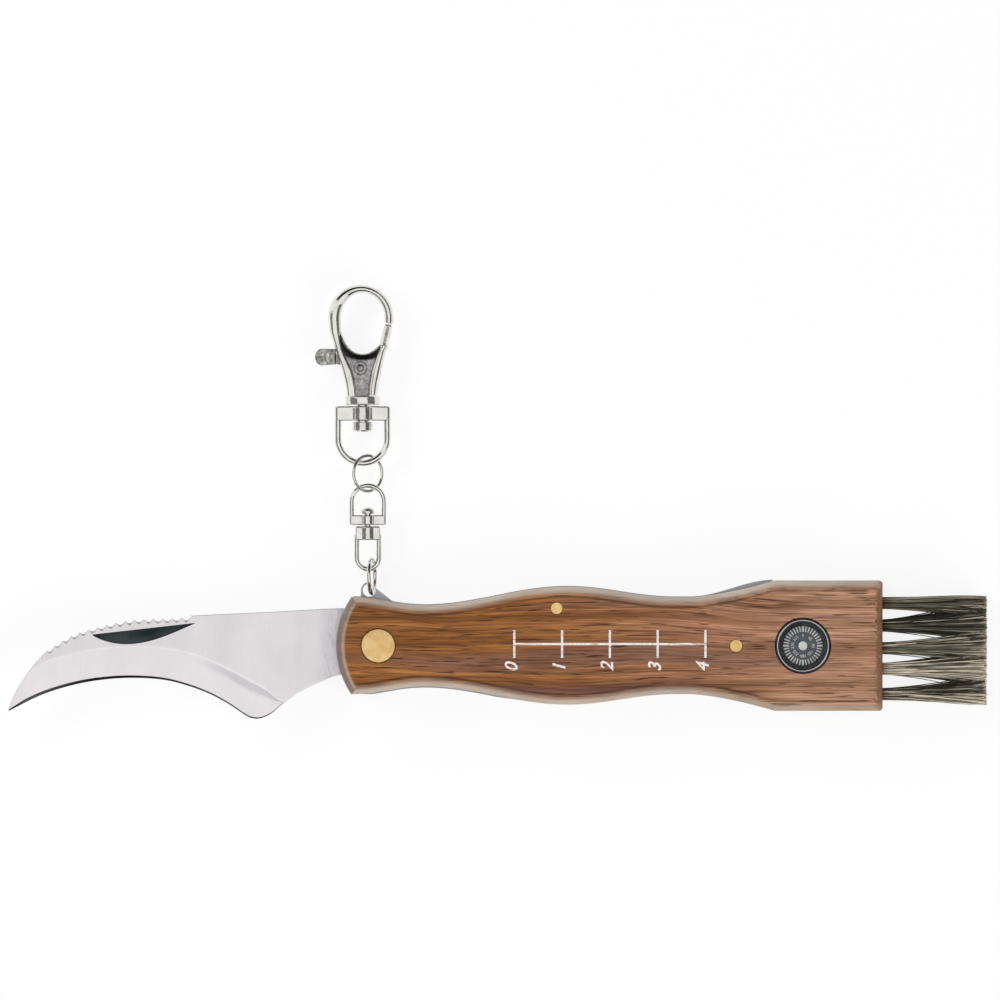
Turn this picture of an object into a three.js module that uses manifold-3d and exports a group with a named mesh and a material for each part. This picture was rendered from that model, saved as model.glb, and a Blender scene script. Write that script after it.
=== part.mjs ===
// A folding mushroom knife, open and lying on its rear face: hawkbill blade with a serrated back,
// wooden handle with a compass and a brush, and a swivel hook on a short chain.
// Millimetres. The origin is on the blade's pivot axis, in the rear face of the handle.
// +X runs to the brush, +Y to the back spring and the chain, +Z up through the handle's thickness.
import * as THREE from "three";
import { mergeVertices } from "three/addons/utils/BufferGeometryUtils.js";
import Module from "manifold-3d";

const wasm = await Module();
wasm.setup();

// Handle outline: places along X from the pivot axis, and widths across Y as shares of the head's width.
const handleFront = 8.75;
const handleBack = 105.6;
const handleWidth = 27.3;
const frontWidthShare = 0.747;
const frontBulge = 3.1;
const firstWaistPlace = 9.6;
const firstWaistShare = 0.623;
const bellyPlace = 39.7;
const bellyShare = 0.905;
const secondWaistPlace = 62.1;
const secondWaistRun = 3.1;
const secondWaistShare = 0.744;
const headLength = 22.6;
const woodFlareShare = 1.5;
const edgeRound = 1.7;
const endCorner = 0.8;
const sharpCorner = 0.1;

// Layers of the handle, from the rear face up.
const scaleThickness = 5;
const linerThickness = 0.9;
const bladeThickness = 2;
const bladeSideGap = 0.3;

// Steel work.
const blockLead = 0.4;
const linerProud = 0.15;
const linerFrontInset = 0.3;
const linerCorner = 0.3;
const springThickness = 2.4;
const springNoseThickness = 1.95;
const springNosePlace = 5.6;
const springBossRadius = 2.7;
const springTailStart = 62;
const springTailRun = 7.5;
const springTailSteps = 4;
const springTailDrop = 3.6;

// Brass.
const pivotRadius = 2;
const pivotHeadRadius = 3.55;
const pivotHeadDepth = 1.4;
const pivotHeadCrown = 0.2;
const springPinRadius = 1.3;
const springPinPlace = 37.35;
const springPinInset = 4.45;
const rearPinRadius = 1.35;
const rearPinPlace = 74.9;

// Blade: reach and drop of its tip and heel from the pivot axis.
const bladeReach = 77.6;
const bladeDrop = 15.3;
const bladeRoot = 2;
const bladeTipBlunt = 0.15;
const bladeEdgeThickness = 0.3;
const bladeGrindRun = 4;
const tangGap = 0.54;
const tangFlatDepth = 0.3;
const bladeClosingAngle = 164;
const toothPitch = 1.975;
const toothDepth = 0.62;
const toothCount = 16;
const toothSink = 0.3;
const plainStepShare = 0.6;
const nickStart = 59.9;
const nickEnd = 38.8;
const nickTop = 2.3;
const nickRise = 2.45;
const nickSag = 2.9;
const nickDepth = 0.5;
const nickSkewShare = 0.8;

// Compass.
const compassRun = 5.9;
const cupRadius = 5.75;
const cupDepth = 4;
const cupProud = 0.35;
const cupWall = 0.75;
const cupFloor = 0.6;
const ledgeWidth = 0.6;
const lensSeat = 1.1;
const lensThickness = 0.9;
const lensCrown = 0.45;
const dialThickness = 0.5;
const dialHubRadius = 0.9;
const dialHubHeight = 0.25;
const dialFloat = 1.3;
const pointRadius = 0.5;
const pointTipRadius = 0.1;

// Brush.
const tuftPitch = 4.7;
const tuftRadius = 1.3;
const tuftCount = 5;
const rowPitch = 3.8;
const bristleLength = 22;
const bristleTrim = 0.5;
const bristleRadius = 0.15;
const bristleTipRadius = 0.1;
const bristlesInTuft = 24;
const tuftSpreadShare = 1.9;
const rowSpreadShare = 1.5;
const sliceDepth = 1.5;
const sliceMargin = 0.7;
const sliceWidth = 3.1;

// Lug on the rear liner.
const lugHolePlace = -1.9;
const lugHoleRise = 1.4;
const lugHoleRadius = 1.33;
const lugRim = 0.42;
const lugFootRun = 5.1;
const lugRoot = 1.5;

// Chain between the lug and the hook.
const jumpRingRadius = 3.55;
const jumpRingWire = 0.45;
const jumpRingShift = 0.55;
const jumpRingDip = 0.65;
const jumpRingRise = 1.05;
const jumpRingTurn = 10;
const lowerLoopRadius = 2.31;
const lowerLoopWire = 0.55;
const lowerLoopSlack = 2;
const lowerLoopShift = 0.85;
const lowerLoopArm = 3.7;
const lowerBlockHalfWidth = 2.67;
const lowerBlockHeight = 2.95;
const lowerBlockDepth = 2.6;
const lowerBlockEndDepth = 1.6;
const smallPinRadius = 0.8;
const smallPinHeadRadius = 1.4;
const smallPinHeadHeight = 1.4;
const pinShoulderShare = 0.35;
const smallShackleRadius = 3.37;
const smallShackleWire = 0.52;
const smallShackleArm = 2.8;
const smallBarHeight = 2.1;
const smallBarDepth = 2.6;
const smallBarEndDepth = 1.25;
const linkRingRadius = 3.75;
const linkRingWire = 0.37;
const linkRingDrop = 1.2;
const linkRingTilt = 38;
const linkRingReach = 2.15;
const largeShackleRadius = 5.15;
const largeShackleWire = 0.7;
const largeShackleArm = 3.7;
const largeBarHeight = 3.1;
const largeBarDepth = 4.2;
const largeBarEndDepth = 1.7;
const hookShift = 1.1;

// Hook: sizes across from its post's axis, and up from the top of its collar.
const collarRadius = 3.65;
const collarHeight = 1.9;
const postRadius = 1.45;
const postHeadRadius = 2.1;
const postHeadHeight = 2;
const loopHalfWidth = 6.9;
const loopHalfHeight = 7;
const loopShift = 0.38;
const loopCentre = 16.3;
const loopDepth = 3.4;
const eyeHalfWidth = 4.85;
const eyeHalfHeight = 6.4;
const eyeCentre = 15.2;
const bodyFootHalf = 3.2;
const bodyTop = 9.5;
const bodyDepth = 4.6;
const shoulderReach = 5.1;
const shoulderHeight = 10.3;
const shoulderDrop = 1.6;
const castingRound = 0.4;
const noseOuterAngle = -11;
const noseInnerAngle = 4;
const loopJoinAngle = 195;
const eyeEndAngle = 300;
const panelHalfWidth = 3.2;
const panelTop = 7.9;
const panelFoot = 1;
const panelDepth = 0.4;
const rivetShift = 0.45;
const rivetHeight = 5.8;
const rivetRadius = 0.75;
const rivetHeadRadius = 1.1;
const rivetHeadHeight = 0.35;
const rivetCrownShare = 0.8;
const leverThickness = 1.4;
const leverHubRadius = 1.6;
const leverGap = 0.2;
const leverSlotFloor = 2.4;
const leverSlotRoof = 4.4;
const gateWidth = 1.5;
const gateFootReach = 4.85;
const gateFootHeight = 4.4;
const gateTipReach = 5.75;
const gateTipHeight = 8.95;
const tabReach = 9.45;
const tabLow = 0.35;
const tabHigh = 4;
const tabPadLength = 2.6;
const tabPadThickness = 2.4;
const tabRibCount = 3;
const tabRibHeight = 0.25;
const springWire = 0.25;
const springCoilRadius = 1.35;
const springCoilTurns = 0.75;
const springLegLength = 1.5;
const springLegAngle = 200;

// Clearances: round pins in their bores, pieces that turn on each other, and how far a cut overruns.
const pinGap = 0.15;
const turnGap = 0.25;
const overrun = 1;

// Counts of facets and of steps.
const roundSides = 32;
const pinSides = 24;
const wireSides = 8;
const ringSteps = 24;
const bowSteps = 24;
const swellSteps = 12;
const roundingSteps = 4;
const cornerSteps = 3;
const frontArcSteps = 10;
const toothSteps = 6;
const springSteps = 12;
const springSides = 5;

// The handle's half widths, and the places that follow its back end.
const headHalf = handleWidth / 2;
const frontHalf = headHalf * frontWidthShare;
const firstWaistHalf = headHalf * firstWaistShare;
const bellyHalf = headHalf * bellyShare;
const secondWaistHalf = headHalf * secondWaistShare;
const headPlace = handleBack - headLength;
const linerBack = headPlace - blockLead;
const compassPlace = headPlace + compassRun;

// Levels of the layers.
const slotWidth = bladeThickness + 2 * bladeSideGap;
const rearLinerLevel = scaleThickness;
const slotLevel = rearLinerLevel + linerThickness;
const frontLinerLevel = slotLevel + slotWidth;
const frontScaleLevel = frontLinerLevel + linerThickness;
const topLevel = frontScaleLevel + scaleThickness;
const middleLevel = topLevel / 2;

// Solids: a closed mesh as a solid, and a solid as a mesh's geometry.
function solidOf(geometry) {
  const bare = geometry.clone();
  bare.deleteAttribute("normal");
  bare.deleteAttribute("uv");
  const merged = mergeVertices(bare);
  return new wasm.Manifold(
    new wasm.Mesh({
      numProp: 3,
      vertProperties: merged.attributes.position.array,
      triVerts: new Uint32Array(merged.index.array),
    }),
  );
}

function geometryOf(solid) {
  const { vertProperties, triVerts } = solid.getMesh();
  const geometry = new THREE.BufferGeometry();
  geometry.setAttribute("position", new THREE.BufferAttribute(vertProperties, 3));
  geometry.setIndex(new THREE.BufferAttribute(triVerts, 1));
  geometry.computeVertexNormals();
  return geometry;
}

function joined(solids) {
  return solids.reduce((whole, solid) => whole.add(solid));
}

function cut(solid, tools) {
  return tools.reduce((rest, tool) => rest.subtract(tool), solid);
}

// Primitive solids: a round rod along Z, a round rod along Y, a box between corners and a prism along Z.
function rodZ(radius, from, to, x = 0, y = 0, sides = pinSides) {
  const geometry = new THREE.CylinderGeometry(radius, radius, to - from, sides);
  return solidOf(geometry.rotateX(Math.PI / 2).translate(x, y, (from + to) / 2));
}

function rodY(radius, from, to, sides = pinSides) {
  const geometry = new THREE.CylinderGeometry(radius, radius, to - from, sides);
  return solidOf(geometry.translate(0, (from + to) / 2, 0));
}

function box(low, high) {
  const size = high.map((value, axis) => value - low[axis]);
  const middle = high.map((value, axis) => (value + low[axis]) / 2);
  return solidOf(new THREE.BoxGeometry(...size).translate(...middle));
}

function prism(points, from, to) {
  const shape = new THREE.Shape(points.map(([x, y]) => new THREE.Vector2(x, y)));
  const options = { depth: to - from, bevelEnabled: false };
  return solidOf(new THREE.ExtrudeGeometry(shape, options).translate(0, 0, from));
}

// A piece turned about Z from a profile of [radius, height] points that starts and ends on the axis.
function turned(profile, sides = roundSides) {
  const points = profile.map(([radius, height]) => new THREE.Vector2(radius, height));
  return solidOf(new THREE.LatheGeometry(points, sides).rotateX(Math.PI / 2));
}

// A round wire along a curve, with flat ends.
function wireAlong(curve, radius, steps, sides = wireSides) {
  const section = new THREE.Shape().absarc(0, 0, radius, 0, 2 * Math.PI);
  const options = { extrudePath: curve, steps, curveSegments: sides, bevelEnabled: false };
  return solidOf(new THREE.ExtrudeGeometry(section, options));
}

// Sections of equal point counts, each a closed loop of [u, v] at one level, skinned from first to last.
function loft(sections, place) {
  const count = sections[0].points.length;
  const positions = sections.flatMap(({ points, level }) => points.flatMap(([u, v]) => place(u, v, level)));
  const index = [];
  for (let ring = 0; ring + 1 < sections.length; ring += 1) {
    for (let i = 0; i < count; i += 1) {
      const a = ring * count + i;
      const b = ring * count + ((i + 1) % count);
      index.push(a, b, b + count, a, b + count, a + count);
    }
  }
  const last = (sections.length - 1) * count;
  for (const [a, b, c] of capFaces(count)) index.push(a, c, b, last + a, last + b, last + c);
  const geometry = new THREE.BufferGeometry();
  geometry.setAttribute("position", new THREE.Float32BufferAttribute(positions, 3));
  geometry.setIndex(index);
  return solidOf(geometry);
}

// The triangles of a flat loop whose two halves run side by side: a zigzag from one half to the other.
function capFaces(count) {
  return Array.from({ length: count - 2 }, (_, i) => {
    const near = Math.floor((i + 1) / 2);
    const far = count - 1 - Math.floor(i / 2);
    return i % 2 === 0 ? [near, near + 1, far] : [near, far - 1, far];
  });
}

// A smooth height over x through points sorted by x: cubic pieces whose slopes follow the neighbours.
function heightThrough(points, x) {
  const last = points.length - 1;
  const slope = (i) => {
    const [before, after] = [points[Math.max(i - 1, 0)], points[Math.min(i + 1, last)]];
    return (after[1] - before[1]) / (after[0] - before[0]);
  };
  let i = 0;
  while (i < last - 1 && x > points[i + 1][0]) i += 1;
  const run = points[i + 1][0] - points[i][0];
  const t = (x - points[i][0]) / run;
  const start = (1 + 2 * t) * (1 - t) ** 2 * points[i][1] + t * (1 - t) ** 2 * run * slope(i);
  const end = t * t * (3 - 2 * t) * points[i + 1][1] + t * t * (t - 1) * run * slope(i + 1);
  return start + end;
}

// The handle's half width at x. The wood flares late towards the head, the steel evenly.
const frontArcRadius = (frontHalf ** 2 + frontBulge ** 2) / (2 * frontBulge);
const frontArcCentre = frontArcRadius - handleFront;
const frontCorner = frontBulge - handleFront;
const secondWaistEnd = secondWaistPlace + secondWaistRun;
const evenly = (share) => (1 - Math.cos(Math.PI * share)) / 2;
const late = (share) => share ** woodFlareShare;

function handleHalf(x, flare) {
  const stations = [
    [frontCorner, frontHalf],
    [firstWaistPlace, firstWaistHalf],
    [bellyPlace, bellyHalf],
    [secondWaistPlace, secondWaistHalf],
    [secondWaistEnd, secondWaistHalf],
    [headPlace, headHalf],
  ];
  if (x <= frontCorner) return frontHalf;
  if (x >= headPlace) return headHalf;
  const next = stations.findIndex(([place]) => x < place);
  const [[fromPlace, fromHalf], [toPlace, toHalf]] = [stations[next - 1], stations[next]];
  const share = (x - fromPlace) / (toPlace - fromPlace);
  const ease = toPlace === headPlace ? flare : evenly;
  return fromHalf + (toHalf - fromHalf) * ease(share);
}

// Places along the handle where the outline has points: evenly spread between the places that shape it.
const outlineSteps = [4, 8, 6, 1, 5, 1];

function outlinePlaces(start, end) {
  const breaks = [firstWaistPlace, bellyPlace, secondWaistPlace, secondWaistEnd, headPlace];
  const bounds = [start, ...breaks.filter((place) => place < end), end];
  return bounds.slice(1).reduce(
    (places, to, piece) => {
      const from = bounds[piece];
      const steps = outlineSteps[piece];
      const added = Array.from({ length: steps }, (_, i) => from + ((to - from) * (i + 1)) / steps);
      return [...places, ...added];
    },
    [start],
  );
}

// The handle's outline as an anticlockwise loop from the middle of its front end, drawn in by an inset.
function handleOutline({ edge, front, back, corner, flare }) {
  const radius = frontArcRadius - front;
  const turn = Math.asin((frontHalf - edge) / radius);
  const start = frontArcCentre - radius * Math.cos(turn);
  const places = outlinePlaces(start, back - corner);
  const half = (x) => handleHalf(x, flare) - edge;
  const lower = places.map((x) => [x, -half(x)]);
  const upper = places.map((x) => [x, half(x)]).reverse();
  const cornerArc = (side, from) =>
    Array.from({ length: cornerSteps }, (_, i) => {
      const angle = from + ((i + (side < 0 ? 1 : 0)) * Math.PI) / 2 / cornerSteps;
      const middle = side * (half(back) - corner);
      return [back - corner + corner * Math.cos(angle), middle + corner * Math.sin(angle)];
    });
  const frontArc = Array.from({ length: frontArcSteps - 1 }, (_, i) => {
    const angle = turn * (1 - (2 * (i + 1)) / frontArcSteps);
    return [frontArcCentre - radius * Math.cos(angle), radius * Math.sin(angle)];
  });
  const middle = frontArcSteps / 2 - 1;
  const corners = [...cornerArc(-1, -Math.PI / 2), ...cornerArc(1, 0)];
  return [...frontArc.slice(middle), ...lower, ...corners, ...upper, ...frontArc.slice(0, middle)];
}

function woodOutline(inset) {
  const corner = Math.max(endCorner - inset, sharpCorner);
  return handleOutline({ edge: inset, front: inset, back: handleBack - inset, corner, flare: late });
}

// A wooden scale: flat towards the liner, rounded along its outer edge.
function woodenScale(inner, outer) {
  const side = Math.sign(outer - inner);
  const round = Array.from({ length: roundingSteps + 1 }, (_, i) => {
    const angle = (i * Math.PI) / 2 / roundingSteps;
    const inset = edgeRound * (1 - Math.cos(angle));
    return { points: woodOutline(inset), level: outer - side * edgeRound * (1 - Math.sin(angle)) };
  });
  const sections = [{ points: woodOutline(0), level: inner }, ...round];
  return loft(side > 0 ? sections : sections.reverse(), (x, y, z) => [x, y, z]);
}

// Places of the pins, shared by everything that they pass through.
const springPinHeight = handleHalf(springPinPlace, evenly) - springPinInset;
const pinPlaces = [
  { x: springPinPlace, y: springPinHeight, radius: springPinRadius },
  { x: rearPinPlace, y: 0, radius: rearPinRadius },
];

function pinBores(from, to) {
  return pinPlaces.map(({ x, y, radius }) => rodZ(radius + pinGap, from - overrun, to + overrun, x, y));
}

function pivotBore(from, to) {
  return rodZ(pivotRadius + pinGap, from - overrun, to + overrun);
}

// A scale's cuts: pin bores, the pivot head's seat and the slot for its slice of bristles.
function scaleCuts(inner, outer, rowLevel) {
  const side = Math.sign(outer - inner);
  const [low, high] = [Math.min(inner, outer), Math.max(inner, outer)];
  const seat = outer - side * pivotHeadDepth;
  const past = outer + side * overrun;
  const [floor, mouth] = [Math.min(seat, past), Math.max(seat, past)];
  const headSeat = rodZ(pivotHeadRadius + pinGap, floor, mouth, 0, 0, roundSides);
  return [pivotBore(low, high), headSeat, ...pinBores(low, high), slicePocket(rowLevel)];
}

// The three rows of tufts lie in the rear scale, the end block and the front scale.
const rowLevels = [middleLevel - rowPitch, middleLevel, middleLevel + rowPitch];
const sliceFront = handleBack - sliceDepth;
const sliceHalfLength = ((tuftCount - 1) / 2) * tuftPitch + tuftRadius + sliceMargin;

function slicePocket(rowLevel) {
  const half = sliceWidth / 2;
  const [low, high] = [rowLevel - half, rowLevel + half];
  return box([sliceFront, -sliceHalfLength, low], [handleBack + overrun, sliceHalfLength, high]);
}

function rearScale() {
  return cut(woodenScale(scaleThickness, 0), scaleCuts(scaleThickness, 0, rowLevels[0]));
}

function frontScale() {
  const cuts = scaleCuts(frontScaleLevel, topLevel, rowLevels[2]);
  const floor = topLevel - cupDepth;
  const pocket = rodZ(cupRadius + pinGap, floor, topLevel + overrun, compassPlace, 0, roundSides);
  return cut(woodenScale(frontScaleLevel, topLevel), [...cuts, pocket]);
}

// The end block fills the space between the scales behind the liners.
function endBlock() {
  const whole = prism(woodOutline(0), rearLinerLevel, frontScaleLevel);
  const steelSpace = box(
    [-handleFront - overrun, -headHalf - overrun, 0],
    [linerBack, headHalf + overrun, topLevel],
  );
  return cut(whole, [steelSpace, slicePocket(rowLevels[1])]);
}

// A liner: a steel plate with the handle's outline, a hair proud of the wood, square before the block.
function liner(level) {
  const outline = handleOutline({
    edge: -linerProud,
    front: linerFrontInset,
    back: linerBack,
    corner: linerCorner,
    flare: evenly,
  });
  const plate = prism(outline, level, level + linerThickness);
  return cut(plate, [pivotBore(level, level + linerThickness), ...pinBores(level, level + linerThickness)]);
}

// The rear liner carries the lug: an ear round the hole, with a sloping back down to the handle's edge.
const lugHoleHeight = frontHalf + lugHoleRise;

function rearLiner() {
  const radius = lugHoleRadius + lugRim;
  const root = firstWaistHalf - lugRoot;
  const foot = lugHolePlace + lugFootRun;
  const footHeight = handleHalf(foot, evenly);
  const slope = Math.atan2(lugHoleHeight - footHeight, lugFootRun);
  const reach = Math.hypot(lugHoleHeight - footHeight, lugFootRun);
  const lean = Math.asin(radius / reach) - slope;
  const arc = Array.from({ length: bowSteps / 2 + 1 }, (_, i) => {
    const angle = Math.PI + ((Math.PI / 2 - lean - Math.PI) * i * 2) / bowSteps;
    return [lugHolePlace + radius * Math.cos(angle), lugHoleHeight + radius * Math.sin(angle)];
  });
  const ear = prism(
    [[lugHolePlace - radius, root], ...arc, [foot, footHeight], [foot, root]].reverse(),
    rearLinerLevel,
    rearLinerLevel + linerThickness,
  );
  const hole = rodZ(
    lugHoleRadius,
    rearLinerLevel - overrun,
    rearLinerLevel + linerThickness + overrun,
    lugHolePlace,
    lugHoleHeight,
  );
  return cut(liner(rearLinerLevel).add(ear), [hole]);
}

// The back spring: a strip along the top edge, thin at its nose over the tang, with a boss round the
// spring pin and a broad tail down to the rear pin.
function springLower(x) {
  const share = Math.min(Math.max(x / firstWaistPlace, 0), 1);
  const thickness = springNoseThickness + (springThickness - springNoseThickness) * share;
  const strip = handleHalf(x, evenly) - thickness;
  const tail = evenly(Math.min(Math.max((x - springTailStart) / springTailRun, 0), 1));
  return strip + (-springTailDrop - strip) * tail;
}

function backSpring() {
  const tailPlaces = Array.from({ length: springTailSteps + 1 }, (_, i) => {
    return springTailStart + (springTailRun * i) / springTailSteps;
  });
  const places = [...outlinePlaces(-springNosePlace, linerBack), 0, ...tailPlaces].sort((a, b) => a - b);
  const distinct = places.filter((x, i) => i === 0 || x - places[i - 1] > linerProud);
  const lower = distinct.map((x) => [x, springLower(x)]);
  const upper = distinct.map((x) => [x, handleHalf(x, evenly)]).reverse();
  const strip = prism([...lower, ...upper], slotLevel, frontLinerLevel);
  const boss = rodZ(springBossRadius, slotLevel, frontLinerLevel, springPinPlace, springPinHeight);
  return cut(strip.add(boss), pinBores(slotLevel, frontLinerLevel));
}

// The blade's back, grind line and edge, from the tip to the root, as shares of its reach and drop.
const backShares = [
  [1, -0.882], [0.983, -0.673], [0.957, -0.451], [0.927, -0.248], [0.894, -0.075], [0.849, 0.078],
  [0.802, 0.19], [0.753, 0.261], [0.702, 0.324], [0.651, 0.366], [0.575, 0.386], [0.494, 0.412],
  [0.29, 0.461], [0.09, 0.51], [0, 0.474],
];
const grindShares = [
  [1, -0.89], [0.974, -0.62], [0.927, -0.3], [0.834, -0.124], [0.741, -0.033], [0.661, -0.007],
  [0.586, -0.026], [0.506, -0.105], [0.432, -0.248], [0.37, -0.405], [0.308, -0.575], [0.253, -0.765],
  [0.165, -0.516], [0.09, -0.39], [0, -0.4],
];
const edgeShares = [
  [1, -0.9], [0.908, -0.673], [0.816, -0.529], [0.729, -0.458], [0.648, -0.442], [0.573, -0.473],
  [0.506, -0.562], [0.45, -0.673], [0.401, -0.81], [0.363, -0.938], [0.345, -0.987], [0.323, -1],
  [0.302, -0.967], [0.283, -0.908], [0.253, -0.778], [0.215, -0.641], [0.165, -0.516], [0.103, -0.4],
  [0.04, -0.42], [0, -0.44],
];
const toothStartShare = 0.894;
const bladePoints = (shares) => shares.map(([along, across]) => [-bladeReach * along, bladeDrop * across]);
const backHeight = (x) => heightThrough(bladePoints(backShares), x);
const grindHeight = (x) => heightThrough(bladePoints(grindShares), x);
const edgeHeight = (x) => heightThrough(bladePoints(edgeShares), x);

// Places along the blade, close together along the teeth, with the length run since the first tooth.
function bladePlaces() {
  const places = [];
  const toothStart = -bladeReach * toothStartShare;
  const teethLength = toothPitch * toothCount;
  const fine = toothPitch / toothSteps;
  const coarse = toothPitch * plainStepShare;
  let x = bladeTipBlunt - bladeReach;
  let run = 0;
  while (x < -bladeRoot) {
    places.push({ x, run });
    const slope = (backHeight(x + bladeTipBlunt) - backHeight(x)) / bladeTipBlunt;
    const inTeeth = x >= toothStart && run < teethLength;
    const step = inTeeth ? fine : coarse;
    const nextX = x + step / Math.hypot(1, slope);
    if (inTeeth) run += step;
    x = x < toothStart && nextX > toothStart ? toothStart : nextX;
  }
  return [...places, { x: -bladeRoot, run }];
}

// One cross-section: thin at the edge, full from the grind line to the back, with a gullet between teeth,
// which sink below the back's line towards the handle.
function bladeSection({ x, run }) {
  const half = bladeThickness / 2;
  const edge = edgeHeight(x);
  const teethLength = toothPitch * toothCount;
  const scallop = toothDepth * Math.abs(Math.sin((Math.PI * run) / toothPitch));
  const sink = toothSink * (run / teethLength) ** 2;
  const filed = run < teethLength ? scallop + sink : 0;
  const back = Math.max(backHeight(x) - filed, edge + 2 * bladeTipBlunt);
  const grind = Math.min(Math.max(grindHeight(x), edge + bladeTipBlunt), back - bladeTipBlunt);
  const bevel = Math.max(grind - edge - bladeTipBlunt, 0);
  const taper = Math.min(bevel / bladeGrindRun, 1);
  const edgeHalf = half - (half - bladeEdgeThickness / 2) * Math.sqrt(taper);
  const points = [
    [edge, -edgeHalf],
    [grind, -half],
    [back, -half],
    [back, half],
    [grind, half],
    [edge, edgeHalf],
  ];
  return { points, level: x };
}

// The nail nick: a straight top edge and a sagging arc below it.
function nailNick() {
  const steps = bowSteps / 2;
  const length = nickStart - nickEnd;
  const sag = Array.from({ length: steps + 1 }, (_, i) => {
    const share = i / steps;
    const drop = nickSag * Math.sin(Math.PI * share ** nickSkewShare);
    return [-nickStart + length * share, nickTop + nickRise * share - drop];
  });
  const top = middleLevel + bladeThickness / 2;
  return prism(sag, top - nickDepth, top + overrun);
}

// The round tang reaches up to the spring's nose, and has one flat for the spring when the blade is closed.
const tangRadius = handleHalf(0, evenly) - springNoseThickness - tangGap;
const tangFlat = tangRadius - tangFlatDepth;

function blade() {
  const half = bladeThickness / 2;
  const body = loft(bladePlaces().map(bladeSection), (y, z, x) => [x, y, middleLevel + z]);
  const tang = rodZ(tangRadius, middleLevel - half, middleLevel + half, 0, 0, roundSides);
  const side = tangRadius + overrun;
  const flatBox = new THREE.BoxGeometry(2 * side, side, 2 * side);
  const flat = solidOf(
    flatBox
      .translate(0, tangFlat + side / 2, middleLevel)
      .rotateZ(THREE.MathUtils.degToRad(-bladeClosingAngle)),
  );
  return cut(body.add(tang), [flat, pivotBore(middleLevel - half, middleLevel + half), nailNick()]);
}

// The pivot pin: a rod with a wide head at each end, flush with the rear scale and crowned at the front.
function pivotPin() {
  const crown = topLevel + pivotHeadCrown;
  const shoulder = crown - pivotHeadCrown / 4;
  const profile = [
    [0, 0],
    [pivotHeadRadius, 0],
    [pivotHeadRadius, pivotHeadDepth],
    [pivotRadius, pivotHeadDepth],
    [pivotRadius, topLevel - pivotHeadDepth],
    [pivotHeadRadius, topLevel - pivotHeadDepth],
    [pivotHeadRadius, topLevel],
    [(pivotHeadRadius * 2) / 3, shoulder],
    [pivotHeadRadius / 3, crown],
    [0, crown],
  ];
  return turned(profile);
}

function throughPin({ x, y, radius }) {
  return rodZ(radius, 0, topLevel, x, y);
}

// The compass, about its own axis: a cup let into the wood, a lens on a ledge, a dial on a point.
const cupBottom = topLevel - cupDepth;
const cupRim = topLevel + cupProud;
const ledgeLevel = cupRim - lensSeat;
const lensRadius = cupRadius - cupWall - pinGap;
const wellRadius = cupRadius - cupWall - ledgeWidth;
const dialRadius = wellRadius - turnGap;
const dialLevel = cupBottom + cupFloor + dialFloat;

function compassCup() {
  return turned([
    [0, cupBottom],
    [cupRadius, cupBottom],
    [cupRadius, cupRim - pinGap],
    [cupRadius - pinGap, cupRim],
    [cupRadius - cupWall, cupRim],
    [cupRadius - cupWall, ledgeLevel],
    [wellRadius, ledgeLevel],
    [wellRadius, cupBottom + cupFloor],
    [0, cupBottom + cupFloor],
  ]);
}

function compassLens() {
  const flatTop = ledgeLevel + lensThickness;
  const dome = Array.from({ length: roundingSteps }, (_, i) => {
    const angle = (i * Math.PI) / 2 / roundingSteps;
    return [lensRadius * Math.cos(angle), flatTop + lensCrown * Math.sin(angle)];
  });
  return turned([[0, ledgeLevel], [lensRadius, ledgeLevel], ...dome, [0, flatTop + lensCrown]]);
}

function compassDial() {
  return turned([
    [0, dialLevel],
    [dialRadius, dialLevel],
    [dialRadius, dialLevel + dialThickness],
    [dialHubRadius, dialLevel + dialThickness],
    [dialHubRadius / 2, dialLevel + dialThickness + dialHubHeight],
    [0, dialLevel + dialThickness + dialHubHeight],
  ]);
}

function compassPoint() {
  const floor = cupBottom + cupFloor;
  return turned([
    [0, floor],
    [pointRadius, floor],
    [pointTipRadius, dialLevel - turnGap],
    [0, dialLevel - turnGap],
  ], pinSides);
}

// One row of five tufts on its slice of the wooden end. The strands leave each round tuft side by side
// and spread evenly, so none of them crosses another.
function bristleRow(rowLevel, row) {
  const half = sliceWidth / 2;
  const [low, high] = [rowLevel - half, rowLevel + half];
  const slice = box([sliceFront, -sliceHalfLength, low], [handleBack, sliceHalfLength, high]);
  const strands = [];
  for (let tuft = 0; tuft < tuftCount; tuft += 1) {
    const middle = (tuft - (tuftCount - 1) / 2) * tuftPitch;
    for (let i = 0; i < bristlesInTuft; i += 1) strands.push(strand(middle, rowLevel, i, row + tuft));
  }
  return slice.add(joinedApart(strands));
}

// A strand: a three-sided taper. Its place in the tuft follows a sunflower's spiral.
const goldenAngle = Math.PI * (3 - Math.sqrt(5));

function strand(middle, rowLevel, i, phase) {
  const distance = (tuftRadius - bristleRadius) * Math.sqrt((i + 0.5) / bristlesInTuft);
  const angle = i * goldenAngle + phase;
  const [across, up] = [distance * Math.cos(angle), distance * Math.sin(angle)];
  const length = bristleLength - bristleTrim * Math.abs(Math.sin(i * goldenAngle * phase + i));
  const corners = (y, z, radius) => [0, 1, 2].map((k) => {
    const corner = angle + (k * 2 * Math.PI) / 3;
    return [y + radius * Math.cos(corner), z + radius * Math.sin(corner)];
  });
  return [
    { points: corners(middle + across, rowLevel + up, bristleRadius), level: handleBack - sliceDepth / 2 },
    {
      points: corners(middle + across * tuftSpreadShare, rowLevel + up * rowSpreadShare, bristleTipRadius),
      level: handleBack + length,
    },
  ];
}

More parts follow.
